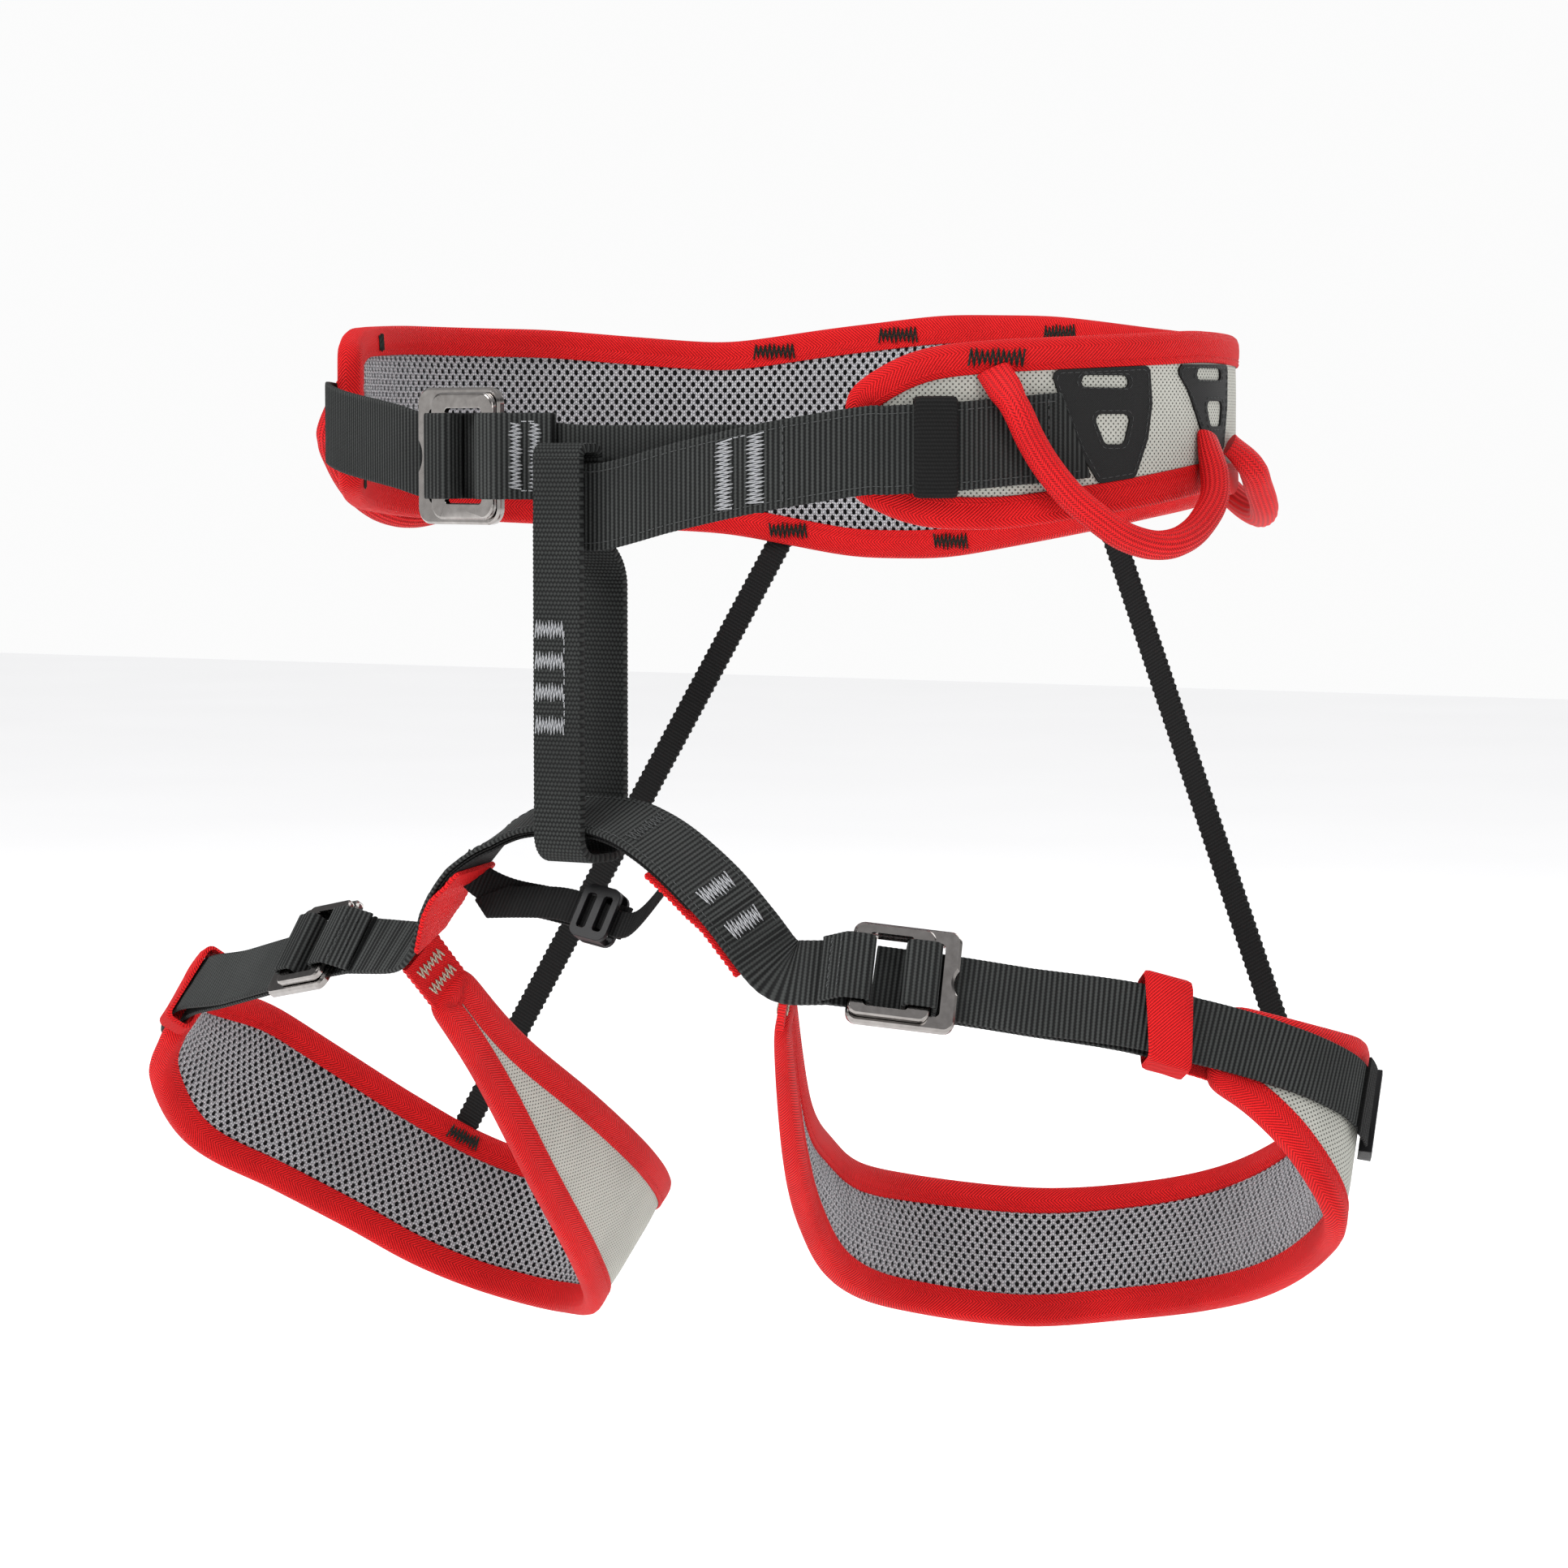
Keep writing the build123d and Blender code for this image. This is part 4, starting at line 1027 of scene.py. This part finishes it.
def waist_straps():
    """The left webbing that becomes the tie-in, the main strap with its sewn loop, and the right webbing."""
    wing = []
    for i in range(11):
        angle = -54.5 + i * 3.0
        p, out = belt_place(angle, between([(-54, -3.6), (-44, -2.4), (-24, 1.5)], angle))
        wing.append(p + out * between([(-42, 6.8), (-38, 4.7), (-30, 4.5)], angle))
    left = path_strip(smooth_points(wing[::-1] + TIE_IN, 150), WAIST_WEB / 2)
    web, seams = Shape(), Shape()
    half = WAIST_WEB / 2
    webbing(web, left, (0.0, left.length), (-half, [(0, 0.8 - half), (9.5, half), (20, half)]), (-0.7, 0.7))
    made(web, "waist_webbing_left", "webbing", "waist_belt")
    edge, face = WAIST_WEB / 2 - 2.3, WEB_THICK / 2
    for v, start in ((-edge, 3), (edge, 11)):
        seams.stitches(left, np.linspace(start, left.length - 2, 200), v, face, 1, 2.4, 0.7, 0.13)
    tacks = Shape()
    for centre in TIE_IN_TACKS:
        tacks.tack(left, (centre - 2.6, centre + 2.6), (-9.8, 9.8), face, 1, 1.15, radius=0.22)
    tacks.stitches(left, TIE_IN_SEAM, (9.9, 9.9), face, 1, 1.4, 0.7, 0.14)
    for place in TIE_IN_ROWS:
        seams.stitches(left, (place, place), (-11, 11), face, 1, 1.9, 0.9, 0.24)
    made(tacks, "tie_in_tacks", "white_thread", "waist_belt", "charcoal_webbing")
    made(seams, "tie_in_stitches", "grey_thread", "waist_belt", "charcoal_webbing")

    place = buckle_place("waist")
    fold, loop = buckle_webbing("waist", place, [(33, -0.9)], [(33, -2.4)])
    main = path_strip(smooth_points(MAIN_STRAP, 60), WAIST_WEB / 2)
    web = Shape()
    strap_along(web, main, WAIST_WEB)
    strap_along(web, loop, WAIST_WEB)
    made(web, "waist_strap", "webbing", "waist_belt")
    web = Shape()
    strap_along(web, fold, WAIST_WEB)
    made(web, "waist_webbing_fold", "webbing", "waist_buckle_plate")
    origin, along = place[:2]
    wing = []
    for angle in (199, 192, 185, 178):
        p, face_out = belt_place(angle, between([(178, 6.5), (199, 5)], angle))
        wing.append(p + face_out * 5.0)
    points = [origin + along * reach for reach in (10.0, -8.0, -18.0)] + RIGHT_STRAP + wing
    web = Shape()
    right = path_strip(smooth_points(points, 120), WAIST_WEB / 2)
    strap_along(web, right, WAIST_WEB)
    made(web, "waist_webbing_right", "webbing", "waist_belt")

    tacks = Shape()
    for centre in WAIST_LOOP_TACKS:
        tacks.tack(loop, (centre - 1.7, centre + 1.7), (-9.5, 9.5), WEB_THICK / 2, 1, 1.15, radius=0.22)
    for v in (-10, 10):
        tacks.stitches(loop, WAIST_LOOP_TACKS, (v, v), WEB_THICK / 2, 1, 1.6, 0.7, 0.16)
    made(tacks, "waist_loop_tacks", "white_thread", "waist_belt", "charcoal_webbing")


def belt_keeper():
    p, out = belt_place(KEEPER_ANGLE, -2.4)
    along = np.cross((0, 0, 1), out)
    half = KEEPER_LENGTH / 2
    middle = p + out * 6.8
    strip = Strip([middle - along * half, middle + along * half], (0, 0, 1), out, 0, 0)
    shape = Shape()
    reach = (WAIST_WEB + 1.6) / 2
    sleeve(shape, strip, (0, KEEPER_LENGTH), (-reach, reach), (-1.8, 1.7), 1.0)
    made(shape, "belt_keeper", "elastic", "belt_keeper")


# ---------------------------------------------------------------- gear loops and belay loop

def gear_loop(name):
    """Round braided sleeve over a cord, with lengthwise ridges; its ends are pressed flat under the binding."""
    a0, a1, z0, z1, drop, stand = GEAR_LOOPS[name]
    front = name.endswith("front")
    points = []
    for share, height, lift in FRONT_LOOP if front else REAR_LOOP:
        z = z1 + height * drop if front else z0 + (z1 - z0) * share + height * drop
        p, out = belt_place(a0 + (a1 - a0) * share, z)
        points.append(p + out * (lift + stand * min(1, 12 * share, 5 * (1 - share))))
    start = (FRONT_TUCK, z0 - z1 - drop) if front else (GEAR_TUCK, 0)
    for end, angle, (tuck, rise) in ((0, a0, start), (-1, a1, (GEAR_TUCK, 0))):
        points[end] = points[end] - belt_place(angle)[1] * tuck + (0, 0, rise + GEAR_RISE)
    line = smooth_points(points, GEAR_STEPS)
    along = unit(np.gradient(line, axis=0))
    outs = np.array([belt_place(a)[1] for a in np.linspace(a0, a1, GEAR_STEPS + 1)])
    side = unit(np.cross(along, outs))
    outs = unit(np.cross(side, along))
    run = lengths(line)
    around = np.linspace(0, 2 * np.pi, GEAR_ROUND, endpoint=False)
    ridge = GEAR_RADIUS * (1 - 0.055 * (0.5 + 0.5 * np.cos(around * GEAR_RIDGES)))
    end = np.minimum(run, run[-1] - run)
    flat = np.where((run < run[-1] / 2) & front, 0.3, 0.5)
    press = flat + (1 - flat) * np.clip(end / 12, 0, 1) ** 0.8
    level, upright = (ridge * np.cos(around))[None, :, None], (ridge * np.sin(around))[None, :, None]
    rings = (line[:, None] + side[:, None] * level * np.minimum(2 - press, 1.2)[:, None, None]
             + outs[:, None] * upright * press[:, None, None])
    uv = np.stack(np.broadcast_arrays(run[:, None], np.append(around, 2 * np.pi) * GEAR_RADIUS), -1)
    shape = Shape()
    shape.grid(rings, uv, wrap_columns=True, caps=True)
    made(shape, name, "sleeve", name, sharp=60)


def belay_loop():
    """Doubled webbing sewn into one closed loop, with four zigzag tacks and a seam between them."""
    flat = rounded(BELAY_OUTLINE, BELAY_RADII, closed=True, arc_steps=10)
    flat = np.vstack([flat, flat[:1]])
    dense = [flat[0]]
    for a, b in zip(flat, flat[1:]):
        parts = max(1, int(np.hypot(*(b - a)) / 3))
        dense += [a + (b - a) * (k + 1) / parts for k in range(parts)]
    flat = np.array(dense)
    ahead = np.gradient(flat, axis=0)
    ahead[0] = ahead[-1] = ahead[0] + ahead[-1]
    zero = np.zeros(len(flat))
    points = np.stack([zero, flat[:, 0], flat[:, 1]], -1)
    outs = np.stack([zero, ahead[:, 1], -ahead[:, 0]], -1)
    if (outs[5] @ (points[5] - points.mean(0))) < 0:
        outs = -outs
    strip = Strip(points, (1, 0, 0), outs, 0, 0)
    shape = Shape()
    half = BELAY_WEB / 2
    webbing(shape, strip, (0.0, strip.length), (-half, half), (-BELAY_THICK, 0.0), rib=1.3, depth=0.2,
            scallop=0.12, closed=True)
    made(shape, "belay_loop", "belay", "belay_loop")
    tacks = Shape()
    sewn = [nearest_s(strip, (0, -120.4, z)) for z in BELAY_TACKS]
    for s in sewn:
        tacks.tack(strip, (s - 2.4, s + 2.4), (-7.2, 2.6), 0.0, 1, 1.05, radius=0.22)
    for s in zip(sewn, sewn[1:]):
        tacks.stitches(strip, s, (2.8, 2.8), 0.0, 1, 1.6, 0.8, 0.16)
    made(tacks, "belay_loop_tacks", "white_thread", "belay_loop", "belay_webbing")


def nearest_s(strip, point):
    """Length along a strip at which it is nearest to a point."""
    places = np.linspace(0, strip.length, 2000)
    gaps = np.linalg.norm(strip.at(places, 0, 0) - np.array(point), axis=1)
    return places[gaps.argmin()]


# ---------------------------------------------------------------- bridge and cross strap

def bridge_strip():
    left = smooth_points(BRIDGE, 60)
    right = left[:0:-1] * (-BRIDGE_SQUEEZE, 1, 1, 1)
    right[:, 3] += between(BRIDGE_TWIST, left[:0:-1, 0])
    points = np.vstack([right, left])
    along = unit(np.gradient(points[:, :3], axis=0))
    along[0] = along[-1] = (1, 0, 0)
    tilt = np.radians(points[:, 3])
    ups = np.stack([np.zeros(len(tilt)), np.cos(tilt), np.sin(tilt)], -1)
    ups = unit(ups - along * (ups * along).sum(1)[:, None])
    return Strip(points[:, :3], ups, np.cross(along, ups), -BRIDGE_WEB / 2, BRIDGE_WEB / 2)


def leg_bridge():
    """Webbing arc between the thigh loops, its two black layers behind, and the red tapes at its ends."""
    strip = bridge_strip()
    half, length = BRIDGE_WEB / 2, strip.length
    share = length / 24
    band("leg_bridge", "webbing", "waist_belt", strip, (8.0, length - 8.0), (-half, half), (-0.7, 0.7))
    web = Shape()
    webbing(web, strip, (share * 4, length - share * 4), (-half + 0.6, half - 0.6), (-1.6, -0.85), depth=0.1)
    webbing(web, strip, (share * 4.6, length - share * 4.6), (-half + 0.2, half - 1.2), (-2.4, -1.7),
            depth=0.1)
    made(web, "leg_bridge_lining", "strap", "waist_belt")
    inner = [(0.0, -2.4), (share * 3.4, -2.4), (share * 4.4, -4.0), (length - share * 4.4, -4.0),
             (length - share * 3.4, -2.4), (length, -2.4)]
    outer = [(0.0, -0.8), (share * 3.4, -0.8), (share * 4.4, -2.5), (length - share * 4.4, -2.5),
             (length - share * 3.4, -0.8), (length, -0.8)]
    for name, s in (("left", (length - share * 7.2, length - 6.0)), ("right", (5.0, share * 5.4))):
        band(f"bridge_strip_{name}", "tape", "waist_belt", strip, s, (-half - 1.2, half - 1), (inner, outer),
             rib=2.0, depth=0.12, scallop=0.25)
    seams, tacks = Shape(), Shape()
    places = np.linspace(12, length - 12, 200)
    for v in (-half + 1.8, half - 1.8):
        seams.stitches(strip, places, v, 0.7, 1, 2.4, 0.7, 0.13)
    seams.tack(strip, (length * 0.5 + 19, length * 0.5 + 23), (-6, 7), 0.7, 1, 1.6, radius=0.2)
    for start in (30.0, 17.5):
        s = length - start
        tacks.tack(strip, (s - 2.6, s + 2.6), (-5.5, 5.5), 0.9, 1, 1.2, radius=0.24)
    made(seams, "leg_bridge_stitches", "grey_thread", "waist_belt", "charcoal_webbing")
    made(tacks, "leg_bridge_tacks", "white_thread", "waist_belt", "charcoal_webbing")


def cross_strap():
    """Narrow strap across the bridge, its link with a slanting tip, and the ladder-lock between them."""
    middle, along = np.array([4, -104.5, -138.0]), unit(np.array([0.985, 0, -0.17]))
    up = np.array([0.08, 0.45, 0.89])
    up = unit(up - along * (up @ along))
    out = np.cross(up, along)
    out = -out if out[1] > 0 else out

    def run(*places):
        points = [middle + along * s if isinstance(s, (int, float)) else np.array(s, float) for s in places]
        return Strip(smooth_points(points, 40), up, out, 0, 0)

    half = CROSS_WEB / 2
    web = Shape()
    strip = run((-42, -108.6, -124.5), (-37, -106.4, -129.5), (-28, -105.2, -133), -17, 9)
    webbing(web, strip, (0.0, strip.length), (-half, half), (-1.5, -0.3), rib=1.4, depth=0.12)
    made(web, "cross_strap", "strap", "waist_belt")
    web = Shape()
    strip = run(1, 12, (31, -106.5, -126))
    webbing(web, strip, (0.0, strip.length), (-half + 1, half - 1), (0.3, 1.5), rib=1.4, depth=0.12)
    strip = run(-1, -16, (-37.5, -107.8, -136.3))
    tip = strip.length
    low = [(0, -half), (tip - 6, -half), (tip, 0.6)]
    high = [(0, half), (tip - 9, half), (tip, 1.2)]
    webbing(web, strip, (0.0, tip), (low, high), (0.3, 1.5), rib=1.4, depth=0.12)
    made(web, "cross_strap_link", "strap", "waist_belt")

    strip = run(-9, 9)
    outline = rounded([(2.6, -8.2), (15.4, -8.2), (15.4, 8.2), (2.6, 8.2)], 3.0, closed=True, arc_steps=6)
    windows = [rounded([(a, -5.4), (b, -5.4), (b, 5.4), (a, 5.4)], 0.9, closed=True, arc_steps=3)
               for a, b in ((4.6, 7.6), (10.2, 13.2))]
    ladder = Shape()
    for n in ((1.7, 3.2), (-3.1, -1.7)):
        patch(ladder, strip, outline, windows, n, grid=2.0)
    for v in ((-8.0, -6.0), (6.0, 8.0)):
        webbing(ladder, strip, (4.4, 13.6), v, (-2.8, 2.8), depth=0.0, scallop=0.0)
    body = ladder.object("cross_strap_slider", FINISH["plastic"])
    softened(body, 0.4)
    piece(body, "cross_strap_slider", "black_plastic", "cross_strap_slider")


# ---------------------------------------------------------------- thigh loops

def leg_place(side, u):
    """Point on a thigh loop's middle line, its directions up and out, and the pad's half height there."""
    points = LEG_PATH[side]
    last = len(points) - 1
    row = curve(points, u)
    along = unit((curve(points, min(u + 0.05, last)) - curve(points, max(u - 0.05, 0)))[:3])
    axis = np.array(THIGH_AXIS[side])
    up = unit(axis - along * (axis @ along))
    out = np.cross(up, along) if side == "left" else np.cross(along, up)
    return row[:3], up, out, row[3]


def leg_strip(side, start, end, rise=None, steps=14, thin=1.0):
    """Strip along the thigh loop between two places of its path, with a map from place to length."""
    places = np.linspace(start, end, max(3, int((end - start) * steps)))
    rows = [leg_place(side, u) for u in places]
    points = np.array([r[0] for r in rows])
    ups = np.array([r[1] for r in rows])
    half = np.array([r[3] for r in rows])
    if rise is not None:
        points = points + ups * between(rise, places)[:, None]
    thin = between(thin, places) if isinstance(thin, list) else thin
    strip = Strip(points, ups, [r[2] for r in rows], -half, half, thin)
    return strip, lambda u: np.interp(u, places, strip.s[1:-1])


STRAP_LIFT = [(13.0, 4.2), (14.0, 3.2), (15.0, 0.9), (18, 0.9)]
STRAP_RISE = [(10.5, 10.0), (11.5, 8.0), (12.6, 3.0), (13.6, 0.0), (18, 0.0)]


def thigh_pad(side):
    body = f"leg_loop_{side}"
    strip, length_at = leg_strip(side, PAD_FROM, PAD_TO, thin=[(PAD_FROM, 0.62), (2.3, 1.0), (13, 1.0)])
    padding("leg_{}_" + side, body, strip, LEG)
    tacks = Shape()
    s = length_at(RISER_SPAN[side])
    high = strip.edges(s)[1]
    for n, face in ((LEG["skin"][0] - 0.1, -1), (LEG["skin"][1] + 0.1, 1)):
        tacks.tack(strip, (s - 6.5, s + 6.5), (high - 6, high - 1.5), n, face, 1.4, False, 0.3)
    made(tacks, f"leg_binding_tacks_{side}", "dark_thread", body, "black_tape")


def inner_strip(side):
    """Red tape from under the bridge's end down to the inner end of the thigh pad, with two tacks."""
    strip = leg_strip(side, 0.0, TAPE_TO, steps=40)[0]
    places = np.linspace(0, strip.length, 12)
    low, high = strip.edges(places)
    tables = [[(s, float(x)) for s, x in zip(places, edge)] for edge in (low + 0.3, high - 0.3)]
    web = Shape()
    webbing(web, strip, (0.0, strip.length), tables, (-1.2, 1.2), rib=2.4, depth=0.1, scallop=0.2)
    obj = web.object(f"leg_inner_strip_{side}", FINISH["tape"])
    tacks = Shape()
    for s in (5.0, 12.0):
        for n, face in ((-1.2, -1), (1.2, 1)):
            tacks.tack(strip, (s - 1.8, s + 1.8), (-5, 5), n, face, 1.5, radius=0.28)
    sewn = tacks.object(f"leg_inner_tacks_{side}", FINISH["beige_thread"])
    end = strip.at(TAPE_TURN_END, 0, 0)
    crosses_hinge(obj, side, end, "red_binding", f"leg_inner_strip_{side}")
    crosses_hinge(sewn, side, end, "red_binding")


def crosses_hinge(obj, side, end, slot, *nodes):
    """A soft piece that starts on the bridge and is wholly on the thigh loop from end on."""
    hinge = np.array([HINGE_X[side], HINGE_Y, HINGE_Z])
    hinged(obj, "waist_belt", f"leg_loop_{side}", tuple(hinge * MM), tuple(end * MM), slot, *nodes)


def leg_straps(side):
    """Strap and tail out of the thigh pad, the fold over the plate, and the doubled stub to the bridge."""
    body = f"leg_loop_{side}"
    place = buckle_place("leg", side)
    origin, along, across, out = place
    stop = origin + along * STRAP_STOP[side]
    fold, loop = buckle_webbing("leg", place)
    places = np.linspace(TAIL_END, 15.6, 90)
    rows = [leg_place(side, u) for u in places]
    ups, outs = np.array([r[1] for r in rows]), np.array([r[2] for r in rows])
    points = np.array([r[0] for r in rows]) + ups * between(STRAP_RISE, places)[:, None]
    lifted = points + outs * between(STRAP_LIFT, places)[:, None]
    half = LEG_WEB / 2

    def ended(line, keep, lift):
        return Strip(np.vstack([line[keep], stop + outs[-1] * lift]), np.vstack([ups[keep], ups[-1:]]),
                     np.vstack([outs[keep], outs[-1:]]), -half, half)

    tail = ended(lifted, places > 0, 0.9)
    fixed = ended(points, places > PAD_TO + 0.2, 0.0)
    band(f"leg_strap_tail_{side}", "webbing", body, tail, (0.0, tail.length), (-half, half), (-0.7, 0.7))
    band(f"leg_strap_{side}", "webbing", body, fixed, (0.0, fixed.length), (-half, half), (-1.5, -0.1))
    web = Shape()
    strap_along(web, fold, LEG_WEB)
    made(web, f"leg_strap_fold_{side}", "webbing", f"leg_buckle_plate_{side}")
    stub, seams = Shape(), Shape()
    strap_along(stub, loop, LEG_WEB)
    turn = stub_strip(side, origin + along * 19.5 + out * 1.5, ups[-1], out)
    webbing(stub, turn, (0.0, turn.length), (-half + 0.1, half - 0.1), (-0.9, 0.9), rib=2.0, depth=0.34)
    for s in (7.0, 3.5):
        seams.stitches(loop, (s, s), (-9, 9), WEB_THICK / 2, 1, 1.9, 0.8, 0.24)
    obj = stub.object(f"leg_buckle_stub_{side}", FINISH["webbing"])
    crosses_hinge(obj, side, origin + along * STUB_TURN_END, "charcoal_webbing", f"leg_buckle_stub_{side}")
    made(seams, f"leg_stub_stitches_{side}", "grey_thread", body, "charcoal_webbing")


def stub_strip(side, sewn, up, out):
    """Webbing that turns out of the bridge's end and runs level to the buckle's sewn loop."""
    bridge = bridge_strip()
    last = bridge.length if side == "left" else 0.0
    inward = -1 if side == "left" else 1
    row = bridge.row(last + inward * np.linspace(24, 0, 25))
    share = np.linspace(0, 1, 25)[1:, None]
    sides = []
    for k, end in ((0, sewn), (3, up), (6, out)):
        level = np.vstack([row[:, k:k + 3], row[-1, k:k + 3] * (1 - share) + end * share])
        soft = np.stack([smoothed(level[:, i], 4.5) for i in range(3)], -1)
        held = np.clip(np.minimum(np.arange(49), np.arange(49)[::-1]) / 9, 0, 1)[:, None]
        sides.append(soft * held + level * (1 - held))
    points, ups, outs = sides
    along = unit(np.gradient(points, axis=0))
    ups = unit(ups - along * (ups * along).sum(1)[:, None])
    faces = np.cross(along, ups)
    faces *= np.sign((faces * outs).sum(1))[:, None]
    return Strip(points, ups, faces, -LEG_WEB / 2, LEG_WEB / 2)


def strap_keeper(side):
    """Folded red tape loop round the strap just ahead of the pad's tip, and the tape that runs into it."""
    strip, length_at = leg_strip(side, 12.4, 14.6, steps=30)
    shape = Shape()
    reach = LEG_WEB / 2 + 2.4
    top = 6.0 if side == "left" else 4.6
    span = (length_at(13.62), length_at(14.04))
    sleeve(shape, strip, span, (-reach, reach), (-2.4, top), 1.2, soft=0.7, skew=5.0)
    low = [(length_at(12.5), -9.5), (length_at(13.3), -10.5), (length_at(13.9), -11.5)]
    high = [(length_at(12.5), 6.0), (length_at(13.3), 2.0), (length_at(13.9), -3.0)]
    webbing(shape, strip, (length_at(12.5), length_at(13.9)), (low, high), (-2.9, -1.6), rib=2.4, depth=0.1)
    made(shape, f"leg_strap_keeper_{side}", "tape", f"leg_loop_{side}")


def strap_end(side):
    strip, length_at = leg_strip(side, TAIL_END - 0.1, TAIL_END + 0.6, STRAP_RISE, steps=40)
    span = (length_at(TAIL_END + 0.06), length_at(TAIL_END + 0.36))
    band(f"strap_end_band_{side}", "elastic", f"leg_loop_{side}", strip, span, (-12.5, 12.5), (5.1, 6.1),
         rib=1.1, depth=0.12)


def riser(side):
    """Elastic strap from the belt's lower edge down to the back of a thigh loop."""
    angle = RISER_ANGLE[side]
    low = between(BELT_BOTTOM, angle)
    top, out = belt_place(angle, low - 2.4)
    p, leg_dir, leg_out, half = leg_place(side, RISER_SPAN[side])
    foot = p + leg_dir * (half + 2.4)
    across = np.array([0.9, -0.2 if side == "left" else 0.2, 0])
    along = unit(foot - top)
    across = unit(across - along * (across @ along))
    line = np.linspace(top - along * RISER_TUCK[0], foot + along * RISER_TUCK[1], 30)
    strip = Strip(line, across, np.cross(along, across), 0, 0)
    web, wide, thick = Shape(), RISER_WIDTH / 2, RISER_THICK / 2
    webbing(web, strip, (0.0, strip.length), (-wide, wide), (-thick, thick), rib=2.2, depth=0.2, scallop=0.3)
    obj = web.object(f"riser_{side}", FINISH["elastic"])
    ends = tuple(top * MM), tuple(foot * MM)
    hinged(obj, "waist_belt", f"leg_loop_{side}", *ends, "black_elastic", f"riser_{side}")


# ---------------------------------------------------------------- rigid parts kept from the CAD model

def kept_parts():
    """Gives the CAD model's own buckles and clips their finish and rounded edges."""
    kept = {"waist_buckle_frame": "steel", "waist_buckle_slide": "steel"}
    for side in SIDES:
        kept |= {f"leg_buckle_frame_{side}": "steel", f"leg_buckle_slide_{side}": "steel",
                 f"strap_end_clip_{side}": "plastic"}
    for name, finish in kept.items():
        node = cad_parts[name]
        node.data.materials.clear()
        node.data.materials.append(FINISH[finish])
        softened(node, 0.5)


# ---------------------------------------------------------------- stage

def area_light(name, place, size, power):
    data = bpy.data.lights.new(name, "AREA")
    data.shape = "RECTANGLE"
    data.size, data.size_y = size
    data.energy = power
    light = bpy.data.objects.new(name, data)
    light.location = place
    light.rotation_euler = (Vector(AIM) - Vector(place)).to_track_quat("-Z", "Y").to_euler()
    bpy.context.scene.collection.objects.link(light)


def studio():
    lowest = cad_box[0][2]
    floor = Shape()
    size, step = 6000.0, 33
    line = np.linspace(-size, size, step)
    x, y = np.meshgrid(line, line, indexing="ij")
    level = (lowest - 0.12) / MM
    points = np.stack([x, y, np.full_like(x, level)], -1)
    floor.grid(points, points[..., :2])
    floor.object("floor", FINISH["floor"])
    area_light("key", (-1.0, -1.8, 1.5), (1.2, 0.9), 52)
    area_light("fill", (2.0, -1.0, 0.5), (0.8, 1.6), 15)
    area_light("top", (0.2, 0.3, 2.2), (1.8, 1.8), 22)
    area_light("back", (0.3, 2.2, 0.9), (1.6, 1.0), 14)
    world = bpy.data.worlds.new("studio")
    bpy.context.scene.world = world
    world.use_nodes = True
    nodes, links = world.node_tree.nodes, world.node_tree.links
    split = nodes.new("ShaderNodeSeparateXYZ")
    links.new(nodes.new("ShaderNodeTexCoord").outputs["Generated"], split.inputs[0])
    ramp = nodes.new("ShaderNodeValToRGB")
    links.new(split.outputs["Z"], ramp.inputs[0])
    ramp.color_ramp.elements[0].position, ramp.color_ramp.elements[0].color = 0.14, (0.97, 0.97, 0.97, 1)
    ramp.color_ramp.elements[1].position, ramp.color_ramp.elements[1].color = 0.9, (0.6, 0.6, 0.61, 1)
    for position, level in ((0.26, 0.2), (0.42, 0.16), (0.55, 0.55)):
        ramp.color_ramp.elements.new(position).color = (level, level, level * 1.02, 1)
    links.new(ramp.outputs["Color"], nodes["Background"].inputs["Color"])
    nodes["Background"].inputs["Strength"].default_value = 1.0
    bpy.context.scene.view_settings.view_transform = "Standard"


def camera():
    a, e = radians(AZIMUTH), radians(ELEVATION)
    right = Vector((cos(a), sin(a), 0))
    forward = Vector((-sin(a) * cos(e), cos(a) * cos(e), -sin(e)))
    data = bpy.data.cameras.new("camera")
    data.sensor_width = 36.0
    data.lens = LENS
    data.clip_end = 100
    cam = bpy.data.objects.new("camera", data)
    cam.location = Vector(AIM) + right * AIM_RIGHT - forward * DISTANCE
    cam.rotation_euler = forward.to_track_quat("-Z", "Y").to_euler()
    bpy.context.scene.collection.objects.link(cam)
    bpy.context.scene.camera = cam


camera()
studio()
waist_belt()
for overlay_name, (overlay_outline, *overlay_windows) in OVERLAYS.items():
    overlay(f"overlay_{overlay_name}", overlay_outline, overlay_windows)
waist_straps()
belt_keeper()
for loop_name in GEAR_LOOPS:
    gear_loop(loop_name)
belay_loop()
leg_bridge()
cross_strap()
for leg in SIDES:
    thigh_pad(leg)
    inner_strip(leg)
    leg_straps(leg)
    strap_keeper(leg)
    strap_end(leg)
    riser(leg)
kept_parts()

bpy.context.view_layer.update()
